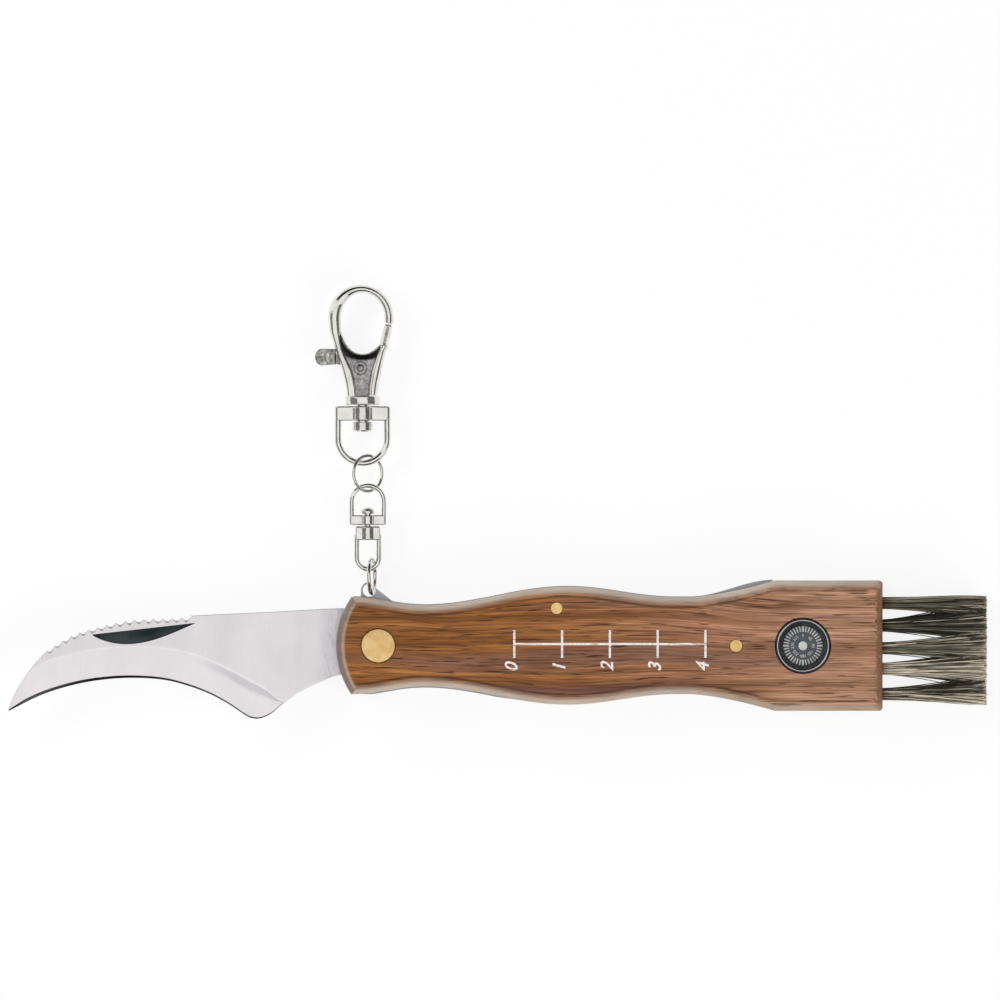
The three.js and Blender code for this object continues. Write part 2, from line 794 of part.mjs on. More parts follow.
// Strands that don't touch each other, as one solid of many bodies.
function joinedApart(strands) {
  const positions = [];
  const index = [];
  for (const sections of strands) {
    const first = positions.length / 3;
    for (const { points, level } of sections) for (const [y, z] of points) positions.push(level, y, z);
    for (const [a, b] of [[0, 1], [1, 2], [2, 0]]) {
      index.push(first + a, first + b, first + b + 3, first + a, first + b + 3, first + a + 3);
    }
    index.push(first, first + 2, first + 1, first + 3, first + 4, first + 5);
  }
  const geometry = new THREE.BufferGeometry();
  geometry.setAttribute("position", new THREE.Float32BufferAttribute(positions, 3));
  geometry.setIndex(index);
  return solidOf(geometry);
}

// Chain levels and places. The collar rests on the ground, and the chain lies level with its axis.
const chainLevel = collarRadius;
const jumpRingPlace = lugHolePlace + jumpRingShift;
const jumpRingCentre = lugHoleHeight - jumpRingDip + jumpRingRadius;
const lowerLoopPlace = jumpRingPlace - lowerLoopShift;
const lowerLoopCentre = jumpRingCentre + jumpRingRadius - lowerLoopSlack + lowerLoopRadius;
const smallBarRise = lowerLoopArm + lowerBlockHeight + turnGap;
const smallBowRise = smallBarHeight + smallShackleArm;
const linkRingCentre = smallShackleRadius + linkRingRadius - linkRingDrop;
const largeBowRise = linkRingCentre + linkRingReach + largeShackleRadius;
const hookRise = largeShackleArm + largeBarHeight + turnGap + collarHeight;

// A ring of round wire, flat in XY, about its own centre.
function ring(radius, wire) {
  return new THREE.TorusGeometry(radius, wire, wireSides, ringSteps);
}

function jumpRing() {
  const geometry = ring(jumpRingRadius, jumpRingWire);
  return solidOf(geometry.rotateY(Math.PI / 2).rotateY(THREE.MathUtils.degToRad(-jumpRingTurn)));
}

function linkRing() {
  return solidOf(ring(linkRingRadius, linkRingWire).rotateY(THREE.MathUtils.degToRad(linkRingTilt)));
}

// A bow of wire about the centre of its arc, which faces up for side 1, with two straight arms.
function bow(radius, arm, wire, side) {
  const path = new THREE.CurvePath();
  const at = (x, y) => new THREE.Vector3(x, y * side, 0);
  const arc = new THREE.CatmullRomCurve3(
    Array.from({ length: bowSteps + 1 }, (_, i) => {
      const angle = Math.PI + (Math.PI * i) / bowSteps;
      return at(radius * Math.cos(angle), -radius * Math.sin(angle));
    }),
  );
  path.add(new THREE.LineCurve3(at(-radius, -arm), at(-radius, 0)));
  path.add(arc);
  path.add(new THREE.LineCurve3(at(radius, 0), at(radius, -arm)));
  return wireAlong(path, wire, bowSteps);
}

// A bar across the chain from one height to another, swollen to a barrel round its bore: seen along the
// chain, its depth falls from the middle to the ends in one wave.
function barrelBar({ half, low, high, depth, endDepth }) {
  const places = Array.from({ length: swellSteps + 1 }, (_, i) => half * ((2 * i) / swellSteps - 1));
  const halfDepth = (x) => (endDepth + (depth - endDepth) * evenly(1 - Math.abs(x) / half)) / 2;
  const front = places.map((x) => new THREE.Vector2(x, halfDepth(x)));
  const rear = places.map((x) => new THREE.Vector2(x, -halfDepth(x))).reverse();
  const shape = new THREE.Shape([...front, ...rear]);
  const geometry = new THREE.ExtrudeGeometry(shape, { depth: high - low, bevelEnabled: false });
  return solidOf(geometry.rotateX(-Math.PI / 2).translate(0, low, 0));
}

// The lower swivel loop, about its arc's centre: a bow downwards and a block above, bored for the pin.
function lowerSwivelLoop() {
  const top = lowerLoopArm + lowerBlockHeight;
  const block = barrelBar({
    half: lowerBlockHalfWidth,
    low: lowerLoopArm,
    high: top,
    depth: lowerBlockDepth,
    endDepth: lowerBlockEndDepth,
  });
  const bore = rodY(smallPinRadius + pinGap, lowerLoopArm - overrun, top + overrun);
  const loop = bow(lowerLoopRadius, lowerLoopArm + lowerBlockHeight / 2, lowerLoopWire, -1);
  return cut(loop.add(block), [bore]);
}

// The pin fixed in the lower block: a rod and a domed head inside the small shackle.
function lowerSwivelPin() {
  const underHead = lowerLoopArm + lowerBlockHeight + turnGap + smallBarHeight + turnGap;
  const domeFoot = underHead + smallPinHeadHeight * pinShoulderShare;
  const domeHeight = smallPinHeadHeight * (1 - pinShoulderShare);
  const dome = Array.from({ length: roundingSteps }, (_, i) => {
    const angle = (i * Math.PI) / 2 / roundingSteps;
    return [smallPinHeadRadius * Math.cos(angle), domeFoot + domeHeight * Math.sin(angle)];
  });
  const profile = [
    [0, lowerLoopArm],
    [smallPinRadius, lowerLoopArm],
    [smallPinRadius, underHead],
    [smallPinHeadRadius, underHead],
    ...dome,
    [0, underHead + smallPinHeadHeight],
  ];
  return solidOf(latheAlongY(profile, pinSides));
}

function latheAlongY(profile, sides) {
  const points = profile.map(([radius, height]) => new THREE.Vector2(radius, height));
  return new THREE.LatheGeometry(points, sides);
}

// The small shackle, about the foot of its bar on the swivel axis: a bar with a bow above it.
function smallShackle() {
  const reach = smallShackleRadius + smallShackleWire;
  const bar = barrelBar({
    half: reach,
    low: 0,
    high: smallBarHeight,
    depth: smallBarDepth,
    endDepth: smallBarEndDepth,
  });
  const arch = bow(smallShackleRadius, smallShackleArm + smallBarHeight / 2, smallShackleWire, 1);
  const bore = rodY(smallPinRadius + pinGap, -overrun, smallBarHeight + overrun);
  return cut(bar.add(arch.translate(0, smallBowRise, 0)), [bore]);
}

// The large shackle, about its arc's centre: a bow downwards and a rounded bar above, bored for the post.
function largeShackle() {
  const reach = largeShackleRadius + largeShackleWire;
  const top = largeShackleArm + largeBarHeight;
  const bar = barrelBar({
    half: reach,
    low: largeShackleArm,
    high: top,
    depth: largeBarDepth,
    endDepth: largeBarEndDepth,
  });
  const bore = rodY(postRadius + pinGap, largeShackleArm - overrun, top + overrun);
  const loop = bow(largeShackleRadius, largeShackleArm + largeBarHeight / 2, largeShackleWire, -1);
  return cut(loop.add(bar), [bore]);
}

// The hook's post, about the top of the collar: a neck through the shackle's bar and a head below it.
function hookPost() {
  const barTop = -collarHeight - turnGap;
  const underBar = barTop - largeBarHeight - turnGap;
  const foot = underBar - postHeadHeight;
  const chamfer = postHeadHeight / 4;
  return solidOf(latheAlongY([
    [0, foot],
    [postHeadRadius - chamfer, foot],
    [postHeadRadius, foot + chamfer],
    [postHeadRadius, underBar],
    [postRadius, underBar],
    [postRadius, -collarHeight],
    [0, -collarHeight],
  ], pinSides));
}

// An ellipse's points between two angles in degrees.
function ellipse(x, y, halfWidth, halfHeight, from, to) {
  return Array.from({ length: bowSteps + 1 }, (_, i) => {
    const angle = THREE.MathUtils.degToRad(from + ((to - from) * i) / bowSteps);
    return [x + halfWidth * Math.cos(angle), y + halfHeight * Math.sin(angle)];
  });
}

// A casting: an outline given a depth about the chain's plane, its edges rounded over.
function casting(points, depth) {
  const shape = new THREE.Shape(points.map(([x, y]) => new THREE.Vector2(x, y)));
  const geometry = new THREE.ExtrudeGeometry(shape, {
    depth: depth - 2 * castingRound,
    bevelThickness: castingRound,
    bevelSize: castingRound,
    bevelOffset: -castingRound,
    bevelSegments: 2,
  });
  return solidOf(geometry.translate(0, 0, castingRound - depth / 2));
}

// The hook's loop and waist in one outline, open at the right between the nose and the shoulder.
function hookLoop() {
  const outer = ellipse(-loopShift, loopCentre, loopHalfWidth, loopHalfHeight, noseOuterAngle, loopJoinAngle);
  const inner = ellipse(0, eyeCentre, eyeHalfWidth, eyeHalfHeight, eyeEndAngle, noseInnerAngle);
  const shoulder = [
    [bodyFootHalf, -castingRound],
    [shoulderReach, shoulderHeight - shoulderDrop],
    [shoulderReach, shoulderHeight],
  ];
  return casting([...outer, [-bodyFootHalf, -castingRound], ...shoulder, ...inner], loopDepth);
}

// The body's thicker waist, below the eye.
function hookWaist() {
  const eyeFloor = eyeCentre - eyeHalfHeight - castingRound;
  const left = bodyFootHalf + ((loopHalfWidth - bodyFootHalf) * bodyTop) / loopCentre;
  const right = bodyFootHalf + ((shoulderReach - bodyFootHalf) * bodyTop) / (shoulderHeight - shoulderDrop);
  return casting([
    [-bodyFootHalf, -castingRound],
    [bodyFootHalf, -castingRound],
    [Math.min(right, shoulderReach), bodyTop - shoulderDrop],
    [Math.min(right, shoulderReach), bodyTop],
    [bodyFootHalf, bodyTop],
    [bodyFootHalf / 2, eyeFloor],
    [-bodyFootHalf / 2, eyeFloor],
    [-bodyFootHalf, bodyTop],
    [-left, bodyTop],
  ], bodyDepth);
}

// Levels in the hook: the lever is in the middle, and its spring lies in the slot behind it.
const leverHalf = leverThickness / 2;
const slotFrontLevel = leverHalf + leverGap;
const springLayer = -leverHalf - leverGap - springWire;
const slotRearLevel = springLayer - springWire - leverGap;

function hookBody() {
  const collar = rodY(collarRadius, -collarHeight, 0, roundSides);
  const whole = joined([hookLoop(), hookWaist(), collar]);
  const panel = prism(
    [[0, panelFoot], [panelHalfWidth, panelTop], [-panelHalfWidth - rivetShift, panelTop]],
    bodyDepth / 2 - panelDepth,
    bodyDepth / 2 + overrun,
  );
  const floor = rivetHeight - leverSlotFloor;
  const roof = rivetHeight + leverSlotRoof;
  const side = loopHalfWidth + overrun;
  const slot = prism([
    [-side, floor],
    [bodyFootHalf - castingRound, floor],
    [shoulderReach + overrun, shoulderHeight - shoulderDrop],
    [shoulderReach + overrun, shoulderHeight + overrun],
    [-bodyFootHalf + castingRound, shoulderHeight + overrun],
    [-bodyFootHalf + castingRound, roof],
    [-side, roof],
  ], slotRearLevel, slotFrontLevel);
  const bore = rodZ(rivetRadius + pinGap, -bodyDepth, bodyDepth, -rivetShift, rivetHeight);
  return cut(whole, [panel, slot, bore]);
}

// The trigger, about its rivet: hub, gate arm up to the nose, and a ribbed thumb tab on the left.
function trigger() {
  const flat = (points) => prism(points, -leverHalf, leverHalf);
  const hub = rodZ(leverHubRadius, -leverHalf, leverHalf);
  const halfGate = gateWidth / 2;
  const arm = flat([
    [0, -leverHubRadius / 2],
    [gateFootReach + halfGate, gateFootHeight - halfGate],
    [gateTipReach + halfGate, gateTipHeight - halfGate],
    [gateTipReach - halfGate, gateTipHeight],
    [gateFootReach - halfGate, gateFootHeight + halfGate],
    [0, leverHubRadius],
  ]);
  const padEnd = tabPadLength - tabReach;
  const tab = flat([
    [0, -leverHubRadius / 3],
    [0, leverHubRadius],
    [-leverHubRadius, leverHubRadius + tabLow],
    [padEnd, tabHigh],
    [-tabReach + tabLow, tabHigh],
    [-tabReach, tabHigh - tabLow],
    [-tabReach, 2 * tabLow],
    [-tabReach + tabLow, tabLow],
  ].reverse());
  const padHalf = tabPadThickness / 2;
  const pad = box([-tabReach + tabLow, tabLow * 2, -padHalf], [padEnd, tabHigh - tabLow, padHalf]);
  const ribPitch = (tabPadLength - tabLow) / tabRibCount;
  const ribs = Array.from({ length: tabRibCount }, (_, i) => {
    const x = -tabReach + tabLow + ribPitch * (i + 0.5);
    const [low, high] = [-padHalf - tabRibHeight, padHalf + tabRibHeight];
    return box([x - ribPitch / 4, tabLow * 3, low], [x + ribPitch / 4, tabHigh - tabLow * 2, high]);
  });
  const whole = joined([hub, arm, tab, pad, ...ribs]);
  return cut(whole, [rodZ(rivetRadius + pinGap, -leverThickness, leverThickness)]);
}

function triggerRivet() {
  const rear = -bodyDepth / 2;
  const front = bodyDepth / 2 - panelDepth;
  return turned([
    [0, rear],
    [rivetRadius, rear],
    [rivetRadius, front + pinGap],
    [rivetHeadRadius, front + pinGap],
    [rivetHeadRadius * rivetCrownShare, front + pinGap + rivetHeadHeight],
    [0, front + pinGap + rivetHeadHeight],
  ], pinSides);
}

// The trigger's hairpin spring: most of a turn round the rivet, and a leg to the body's floor.
function triggerSpring() {
  const turnAngle = THREE.MathUtils.degToRad(springLegAngle);
  const arc = Array.from({ length: springSteps }, (_, i) => {
    const angle = turnAngle + (i * springCoilTurns * 2 * Math.PI) / springSteps;
    return new THREE.Vector3(springCoilRadius * Math.cos(angle), springCoilRadius * Math.sin(angle), 0);
  });
  const onwards = new THREE.Vector3(-Math.sin(turnAngle), Math.cos(turnAngle), 0);
  const leg = arc[0].clone().addScaledVector(onwards, springLegLength);
  const path = new THREE.CatmullRomCurve3([leg, ...arc]);
  return wireAlong(path, springWire, springSteps, springSides).translate(0, 0, springLayer);
}

// Materials, each made anew so that every mesh has its own.
const wood = () => new THREE.MeshStandardMaterial({ color: 0x8a5636, roughness: 0.5, metalness: 0 });
const steel = () => new THREE.MeshStandardMaterial({ color: 0xc4c3c6, roughness: 0.35, metalness: 1 });
const darkSteel = () => new THREE.MeshStandardMaterial({ color: 0x6d6f74, roughness: 0.4, metalness: 1 });
const brass = () => new THREE.MeshStandardMaterial({ color: 0xd1a144, roughness: 0.3, metalness: 1 });
const nickel = () => new THREE.MeshStandardMaterial({ color: 0xd8d6d0, roughness: 0.15, metalness: 1 });
const blackPlastic = () => new THREE.MeshStandardMaterial({ color: 0x141516, roughness: 0.3, metalness: 0 });
const clearPlastic = () =>
  new THREE.MeshStandardMaterial({ color: 0xf2f5f5, roughness: 0.05, transparent: true, opacity: 0.3 });
const bristle = () => new THREE.MeshStandardMaterial({ color: 0x6b6353, roughness: 0.7, metalness: 0 });

// Placing: a named mesh in its group, and a group at a place in its parent.
function put(group, name, solid, material) {
  const mesh = new THREE.Mesh(geometryOf(solid), material);
  mesh.name = name;
  group.add(mesh);
  return mesh;
}

function groupAt(parent, x, y, z) {
  const group = new THREE.Group();
  group.position.set(x, y, z);
  parent.add(group);
  return group;
}

// The handle and all that is fixed in it.
function addHandle(knife) {
  const handle = groupAt(knife, 0, 0, 0);
  put(handle, "rear_scale", rearScale(), wood());
  put(handle, "front_scale", frontScale(), wood());
  put(handle, "end_block", endBlock(), wood());
  put(handle, "rear_liner", rearLiner(), darkSteel());
  put(handle, "front_liner", liner(frontLinerLevel), darkSteel());
  put(handle, "back_spring", backSpring(), darkSteel());
  put(handle, "pivot_pin", pivotPin(), brass());
  put(handle, "spring_pin", throughPin(pinPlaces[0]), brass());
  put(handle, "rear_pin", throughPin(pinPlaces[1]), brass());
  rowLevels.forEach((level, row) => {
    put(handle, `bristle_row_${row + 1}`, bristleRow(level, row), bristle());
  });
  const compass = groupAt(handle, compassPlace, 0, 0);
  put(compass, "compass_cup", compassCup(), blackPlastic());
  put(compass, "compass_lens", compassLens(), clearPlastic());
  put(compass, "compass_point", compassPoint(), steel());
  put(compass, "compass_dial", compassDial(), blackPlastic());
}

// The chain: each link in a group at its own turning centre, inside the group of the link before it.
function addChain(knife) {
  const lugGroup = groupAt(knife, lugHolePlace, lugHoleHeight, chainLevel);
  const ringMesh = put(lugGroup, "jump_ring", jumpRing(), nickel());
  ringMesh.position.set(jumpRingShift, jumpRingCentre - lugHoleHeight, jumpRingRise);

  const loopGroup = groupAt(lugGroup, lowerLoopPlace - lugHolePlace, lowerLoopCentre - lugHoleHeight, 0);
  put(loopGroup, "lower_swivel_loop", lowerSwivelLoop(), nickel());
  put(loopGroup, "lower_swivel_pin", lowerSwivelPin(), nickel());

  const smallGroup = groupAt(loopGroup, 0, smallBarRise, 0);
  put(smallGroup, "small_shackle", smallShackle(), nickel());

  const linkGroup = groupAt(smallGroup, 0, smallBowRise, 0);
  put(linkGroup, "link_ring", linkRing(), nickel()).position.set(0, linkRingCentre, 0);

  const largeGroup = groupAt(linkGroup, -hookShift, largeBowRise, 0);
  put(largeGroup, "large_shackle", largeShackle(), nickel());

  const hookGroup = groupAt(largeGroup, 0, hookRise, 0);
  put(hookGroup, "hook_body", hookBody(), nickel());
  put(hookGroup, "hook_post", hookPost(), nickel());

  const triggerGroup = groupAt(hookGroup, -rivetShift, rivetHeight, 0);
  put(triggerGroup, "trigger_rivet", triggerRivet(), nickel());
  put(triggerGroup, "trigger_spring", triggerSpring(), steel());
  put(triggerGroup, "trigger", trigger(), nickel());
}

const knife = new THREE.Group();
addHandle(knife);
put(groupAt(knife, 0, 0, 0), "blade", blade(), steel());
addChain(knife);

export default knife;
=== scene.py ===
"""A folding mushroom knife lying open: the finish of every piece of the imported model."""
import math

import bpy
import numpy as np
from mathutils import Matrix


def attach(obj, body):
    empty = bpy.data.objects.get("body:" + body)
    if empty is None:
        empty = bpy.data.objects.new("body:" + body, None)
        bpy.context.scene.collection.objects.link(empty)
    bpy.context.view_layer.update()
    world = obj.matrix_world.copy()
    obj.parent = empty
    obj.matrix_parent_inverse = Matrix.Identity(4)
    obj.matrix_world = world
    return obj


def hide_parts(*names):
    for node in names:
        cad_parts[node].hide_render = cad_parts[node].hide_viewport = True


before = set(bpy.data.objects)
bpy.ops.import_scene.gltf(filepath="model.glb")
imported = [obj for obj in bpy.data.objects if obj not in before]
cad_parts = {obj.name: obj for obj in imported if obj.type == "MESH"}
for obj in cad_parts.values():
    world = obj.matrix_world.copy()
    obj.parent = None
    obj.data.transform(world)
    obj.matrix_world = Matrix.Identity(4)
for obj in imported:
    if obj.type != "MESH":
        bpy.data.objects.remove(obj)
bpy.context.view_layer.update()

# The table, the camera and the light.
# The knife lies on a sheet of white paper, seen straight from above through a long lens. Two soft boxes light
# it from its upper left and its lower right, and a pale ceiling that leans to the same side hangs over it.
# Tall dark cards stand round it, which only the metal's reflections see.
MM = 0.001
view_centre = np.array([25.5, 30.5, 14.4]) * MM
view_width = 209.25 * MM
lens_length, sensor_width, clip_end = 1200.0, 36.0, 20.0


def standing(name, data, place=(0.0, 0.0, 0.0)):
    """A new object with its data, put into the scene at a place."""
    made = bpy.data.objects.new(name, data)
    made.location = place
    bpy.context.scene.collection.objects.link(made)
    return made


camera_data = bpy.data.cameras.new("camera")
camera_data.lens, camera_data.sensor_width, camera_data.clip_end = lens_length, sensor_width, clip_end
camera_rise = np.array([0.0, 0.0, view_width * lens_length / sensor_width])
bpy.context.scene.camera = standing("camera", camera_data, view_centre + camera_rise)
bpy.context.scene.view_settings.view_transform = "Standard"


def mesh_of(name, shell):
    """A new mesh object at the origin, shaded smooth, from a shell: points in millimetres and a list of faces."""
    points, faces = shell
    mesh = bpy.data.meshes.new(name)
    mesh.from_pydata((np.asarray(points, dtype=float) * MM).tolist(), [], faces)
    mesh.polygons.foreach_set("use_smooth", np.ones(len(mesh.polygons), dtype=bool))
    mesh.update()
    return standing(name, mesh)


def arc(centre, radii, start, end, count):
    """Points of a circle or an ellipse, evenly spaced in angle: the centre plus the radii times cosine and sine."""
    turn = np.linspace(start, end, count)
    return np.array(centre) + np.column_stack([np.cos(turn), np.sin(turn)]) * radii


def at_level(loop, level):
    """Points in plan lifted to a level."""
    return np.column_stack([loop, np.full(len(loop), level)])


def filled(tree, node, inputs):
    """The node with its inputs set, by name or number, each to a value or to another node's output."""
    for label, value in inputs.items():
        socket = node.inputs[label]
        if isinstance(value, bpy.types.NodeSocket):
            tree.links.new(value, socket)
        else:
            socket.default_value = (*value, 1.0) if socket.type == "RGBA" else value
    return node


def added(tree, kind, inputs, **settings):
    """A new shader node with its settings and its inputs."""
    node = tree.nodes.new("ShaderNode" + kind)
    for label, value in settings.items():
        setattr(node, label, value)
    return filled(tree, node, inputs)


def new_material(name):
    """A new node material, its tree and its surface shader."""
    material = bpy.data.materials.new(name)
    material.use_nodes = True
    return material, material.node_tree, material.node_tree.nodes["Principled BSDF"]


def stage_material(name, tone):
    """A matt grey for the table and the cards, which aren't part of the knife."""
    material, tree, shader = new_material(name)
    filled(tree, shader, {"Base Color": (tone, tone, tone), "Roughness": 0.9, "Specular IOR Level": 0.0})
    return material


def background_share(tree, strength):
    """The strength of the plain background for camera, glossy and transmission rays, and none for the others."""
    rays = tree.nodes.new("ShaderNodeLightPath").outputs
    share = rays["Is Camera Ray"]
    steps = (("ADD", rays["Is Glossy Ray"]), ("ADD", rays["Is Transmission Ray"]), ("MULTIPLY", strength))
    for operation, other in steps:
        share = added(tree, "Math", {0: share, 1: other}, operation=operation, use_clamp=True).outputs["Value"]
    return share


table_reach, table_level = 6000.0, -0.05
paper_tone, paper_share = 0.97, 0.88
table_corners = np.array([(-1, -1), (1, -1), (1, 1), (-1, 1)]) * table_reach
table = mesh_of("table", (at_level(table_corners, table_level), [(0, 1, 2, 3)]))
paper = stage_material("white_paper", paper_tone)
leaves = paper.node_tree
paper_glow = added(leaves, "MixShader", {
    "Fac": background_share(leaves, paper_share),
    1: leaves.nodes["Principled BSDF"].outputs["BSDF"],
    2: leaves.nodes.new("ShaderNodeEmission").outputs["Emission"],
})
filled(leaves, leaves.nodes["Material Output"], {"Surface": paper_glow.outputs["Shader"]})
table.data.materials.append(paper)

card_radius, card_foot, card_steps = 600.0, 20.0, 24
card_turns = np.radians([[-22, 58], [59, 140], [162, 247], [248, 312]])
card_tops = (900.0, 1500.0, 850.0, 800.0)
card_tones = (0.2, 0.03, 0.3, 0.06)
step = np.arange(card_steps)
card_faces = np.column_stack([step, step + 1, step + card_steps + 2, step + card_steps + 1]).tolist()
for number, ((start, end), card_top, tone) in enumerate(zip(card_turns, card_tops, card_tones)):
    wall = arc((0.0, 0.0), card_radius, start, end, card_steps + 1)
    points = np.concatenate([at_level(wall, card_foot), at_level(wall, card_top)])
    card = mesh_of(f"card_{number + 1}", (points, card_faces))
    card.data.materials.append(stage_material(f"card_{number + 1}", tone))
    card.visible_camera = card.visible_diffuse = card.visible_shadow = False

soft_box_length, soft_box_height = 0.95, 0.3
soft_box_distance = 1.1
soft_box_elevation = math.radians(36)
soft_box_power = 6.7
for soft_box_turn in (math.radians(149), math.radians(-38)):
    lamp = bpy.data.lights.new("soft_box", "AREA")
    lamp.shape, lamp.energy = "RECTANGLE", soft_box_power
    lamp.size, lamp.size_y = soft_box_length, soft_box_height
    reach = soft_box_distance * math.cos(soft_box_elevation)
    soft_box = standing("soft_box", lamp, (
        view_centre[0] + reach * math.cos(soft_box_turn), reach * math.sin(soft_box_turn),
        soft_box_distance * math.sin(soft_box_elevation),
    ))
    soft_box.rotation_euler = (math.pi / 2 - soft_box_elevation, 0.0, soft_box_turn + math.pi / 2)
    soft_box.visible_glossy = False

world = bpy.data.worlds.new("studio")
bpy.context.scene.world = world
world.use_nodes = True
sky = world.node_tree
ceiling_top, ceiling_span, ceiling_glow = (-0.1, -0.2, 0.975), (0.68, 0.92), (0.12, 1.0)
background_tone = 0.95
direction = sky.nodes.new("ShaderNodeTexCoord").outputs["Generated"]
upward = added(sky, "VectorMath", {0: direction, 1: ceiling_top}, operation="DOT_PRODUCT")
ceiling = added(sky, "MapRange", {
    "Value": upward.outputs["Value"], "From Min": ceiling_span[0], "From Max": ceiling_span[1],
    "To Min": ceiling_glow[0], "To Max": ceiling_glow[1],
}, interpolation_type="SMOOTHSTEP")
seen = added(sky, "Mix", {
    "Factor": background_share(sky, 1.0), "A": ceiling.outputs["Result"], "B": background_tone,
})
filled(sky, sky.nodes["Background"], {"Color": seen.outputs["Result"]})

# The wooden scales and the end block.
# Two slabs of oiled hardwood with one waisted outline lie over and under the steel work, and a block of the
# same wood closes the brush end between them. All are cut to one outline, rounded over on the outer faces,
# bored for the pins and the tufts, and lacquered; the lacquer is thin and pale on the rounded edges, which are
# also painted paler as painted reflection, with painted shade along the crease, on the lower side and at the nose.
handle_front, handle_back = 8.75, 105.6
head_half = 13.65
front_half, front_bulge = head_half * 0.747, 3.1
nose_radius = (front_half ** 2 + front_bulge ** 2) / (2 * front_bulge)
wood_stations = np.array([front_bulge - handle_front, 9.6, 39.7, 62.1, 65.2, 83.0])
wood_halves = head_half * np.array([0.747, 0.623, 0.905, 0.744, 0.744, 1.0])
flare_share = 1.5
end_corner, sharp_corner = 0.8, 0.08
nose_points, side_points, corner_points, end_points = 24, 260, 10, 6
edge_run, edge_start, edge_rings, wall_height = 1.7, math.radians(20), 11, 3.6
flat_insets = (1.88, 2.05, 2.2, 2.38, 2.55, 2.95, 3.3)
nose_half, nose_fade = 10.4, 0.8
# The pale edge of wear and painted reflection: where it ends and fades, how much less the lower side gets as painted
# shade, its share on the wall, and where the crease's painted shade ends.
wear_and_sheen_end, wear_and_sheen_fade, lower_side_shade, wall_wear_and_sheen, rim_end = 105.5, 1.2, 0.15, 0.3, 103.1
knife_top, scale_depth = 14.4, 5.0
block_levels, block_front = (5.0, 9.4), 82.6
tuft_pitch = 4.7
tuft_rows = (3.4, 7.2, 11.0)
tuft_shifts = (-0.75, -0.15, -0.5, -0.5, -0.45)
tuft_middles = (np.arange(5) - 2) * tuft_pitch + tuft_shifts


def half_width(x, flared=True):
    """The handle's half width at x: each stretch between two stations eases from one half width to the next
    along half a cosine wave, and where flared the last stretch grows as a power of the share run."""
    share = np.clip((x[:, None] - wood_stations[:-1]) / np.diff(wood_stations), 0.0, 1.0)
    ease = (1.0 - np.cos(np.pi * share)) / 2.0
    if flared:
        ease[:, -1] = share[:, -1] ** flare_share
    return wood_halves[0] + ease @ np.diff(wood_halves)


def nose_arc(radius, half):
    """Half of the handle's front end in plan: an arc from its middle up to a half width."""
    return arc((nose_radius - handle_front, 0.0), (-radius, radius), 0.0, math.asin(half / radius), nose_points)


def square_end(x, start, end):
    """Points straight across the handle at x, from one half width to another."""
    return np.column_stack([np.full(end_points, x), np.linspace(start, end, end_points)])


def wood_loop(inset, front=None):
    """The handle's outline in plan, drawn in by an inset, as one closed loop of points that starts at the
    middle of the front end: an arc, the waved side, a rounded corner and the straight back end, and the same
    mirrored. With front given, the loop starts with a straight end there instead of the arc."""
    corner = max(end_corner - inset, sharp_corner)
    back = handle_back - inset
    if front is None:
        nose = nose_arc(nose_radius - inset, front_half - inset)
    else:
        nose = square_end(front, 0.0, half_width(np.array([front]))[0] - inset)
    x = np.linspace(nose[-1, 0], back - corner, side_points)[1:]
    side = np.column_stack([x, half_width(x) - inset])
    bend = arc((back - corner, side[-1, 1] - corner), corner, np.pi / 2, 0.0, corner_points)[1:]
    upper = np.concatenate([nose, side, bend, square_end(back, bend[-1, 1], 0.0)[1:]])
    return np.concatenate([upper, (upper[1:-1] * [1.0, -1.0])[::-1]])


def outward(points, faces):
    """The faces turned round where the closed mesh's volume, summed over its faces' fans, comes out negative."""
    volume = 0.0
    for corners in {len(face) for face in faces}:
        ring = points[np.array([face for face in faces if len(face) == corners])]
        for k in range(1, corners - 1):
            volume += np.einsum("ij,ij->i", ring[:, 0], np.cross(ring[:, k], ring[:, k + 1])).sum()
    return faces if volume > 0 else [tuple(face)[::-1] for face in faces]


def walls_of(count, around, closed=False):
    """Four-sided faces between neighbouring rings of a grid of points, one row a ring."""
    index = np.arange(count * around).reshape(count, around)
    near, far = (index, np.roll(index, -1, axis=0)) if closed else (index[:-1], index[1:])
    walls = np.stack([near, np.roll(near, -1, axis=1), np.roll(far, -1, axis=1), far], axis=-1)
    return walls.reshape(-1, 4).tolist()


def ladder_shell(loops):
    """A closed shell from plan loops of equal counts that mirror in their first point: walls between
    neighbouring loops, and flat ends laid as rungs from one half of the loop to the other."""
    points, count = np.concatenate(loops), len(loops[0])
    near = np.arange(1, count // 2 - 1)
    rungs = np.column_stack([near, near + 1, count - near - 1, count - near])
    tips = np.array([(0, 1, count - 1), (count // 2 - 1, count // 2, count // 2 + 1)])
    last = len(points) - count
    faces = walls_of(len(loops), count) + rungs[:, ::-1].tolist() + (rungs + last).tolist()
    faces += tips[:, ::-1].tolist() + (tips + last).tolist()
    return points, outward(points, faces)


def skinned_shell(rings, closed=False):
    """A shell over a grid of points, one row a ring: four-sided faces between neighbouring rings. A closed
    one joins its last ring to its first; an open one ends in fans to the middle of each end ring."""
    rings = np.asarray(rings, dtype=float)
    count, around = rings.shape[:2]
    points, faces = rings.reshape(-1, 3), walls_of(count, around, closed)
    if not closed:
        last, foot = len(points) - around, len(points)
        points = np.concatenate([points, rings[0].mean(axis=0)[None], rings[-1].mean(axis=0)[None]])
        pairs = [(corner, (corner + 1) % around) for corner in range(around)]
        faces += [(foot, b, a) for a, b in pairs] + [(foot + 1, a + last, b + last) for a, b in pairs]
    return points, outward(points, faces)


def circle(radius, sides):
    """Points evenly spaced round a circle about the origin."""
    return arc((0.0, 0.0), radius, 0.0, 2 * np.pi, sides + 1)[:-1]


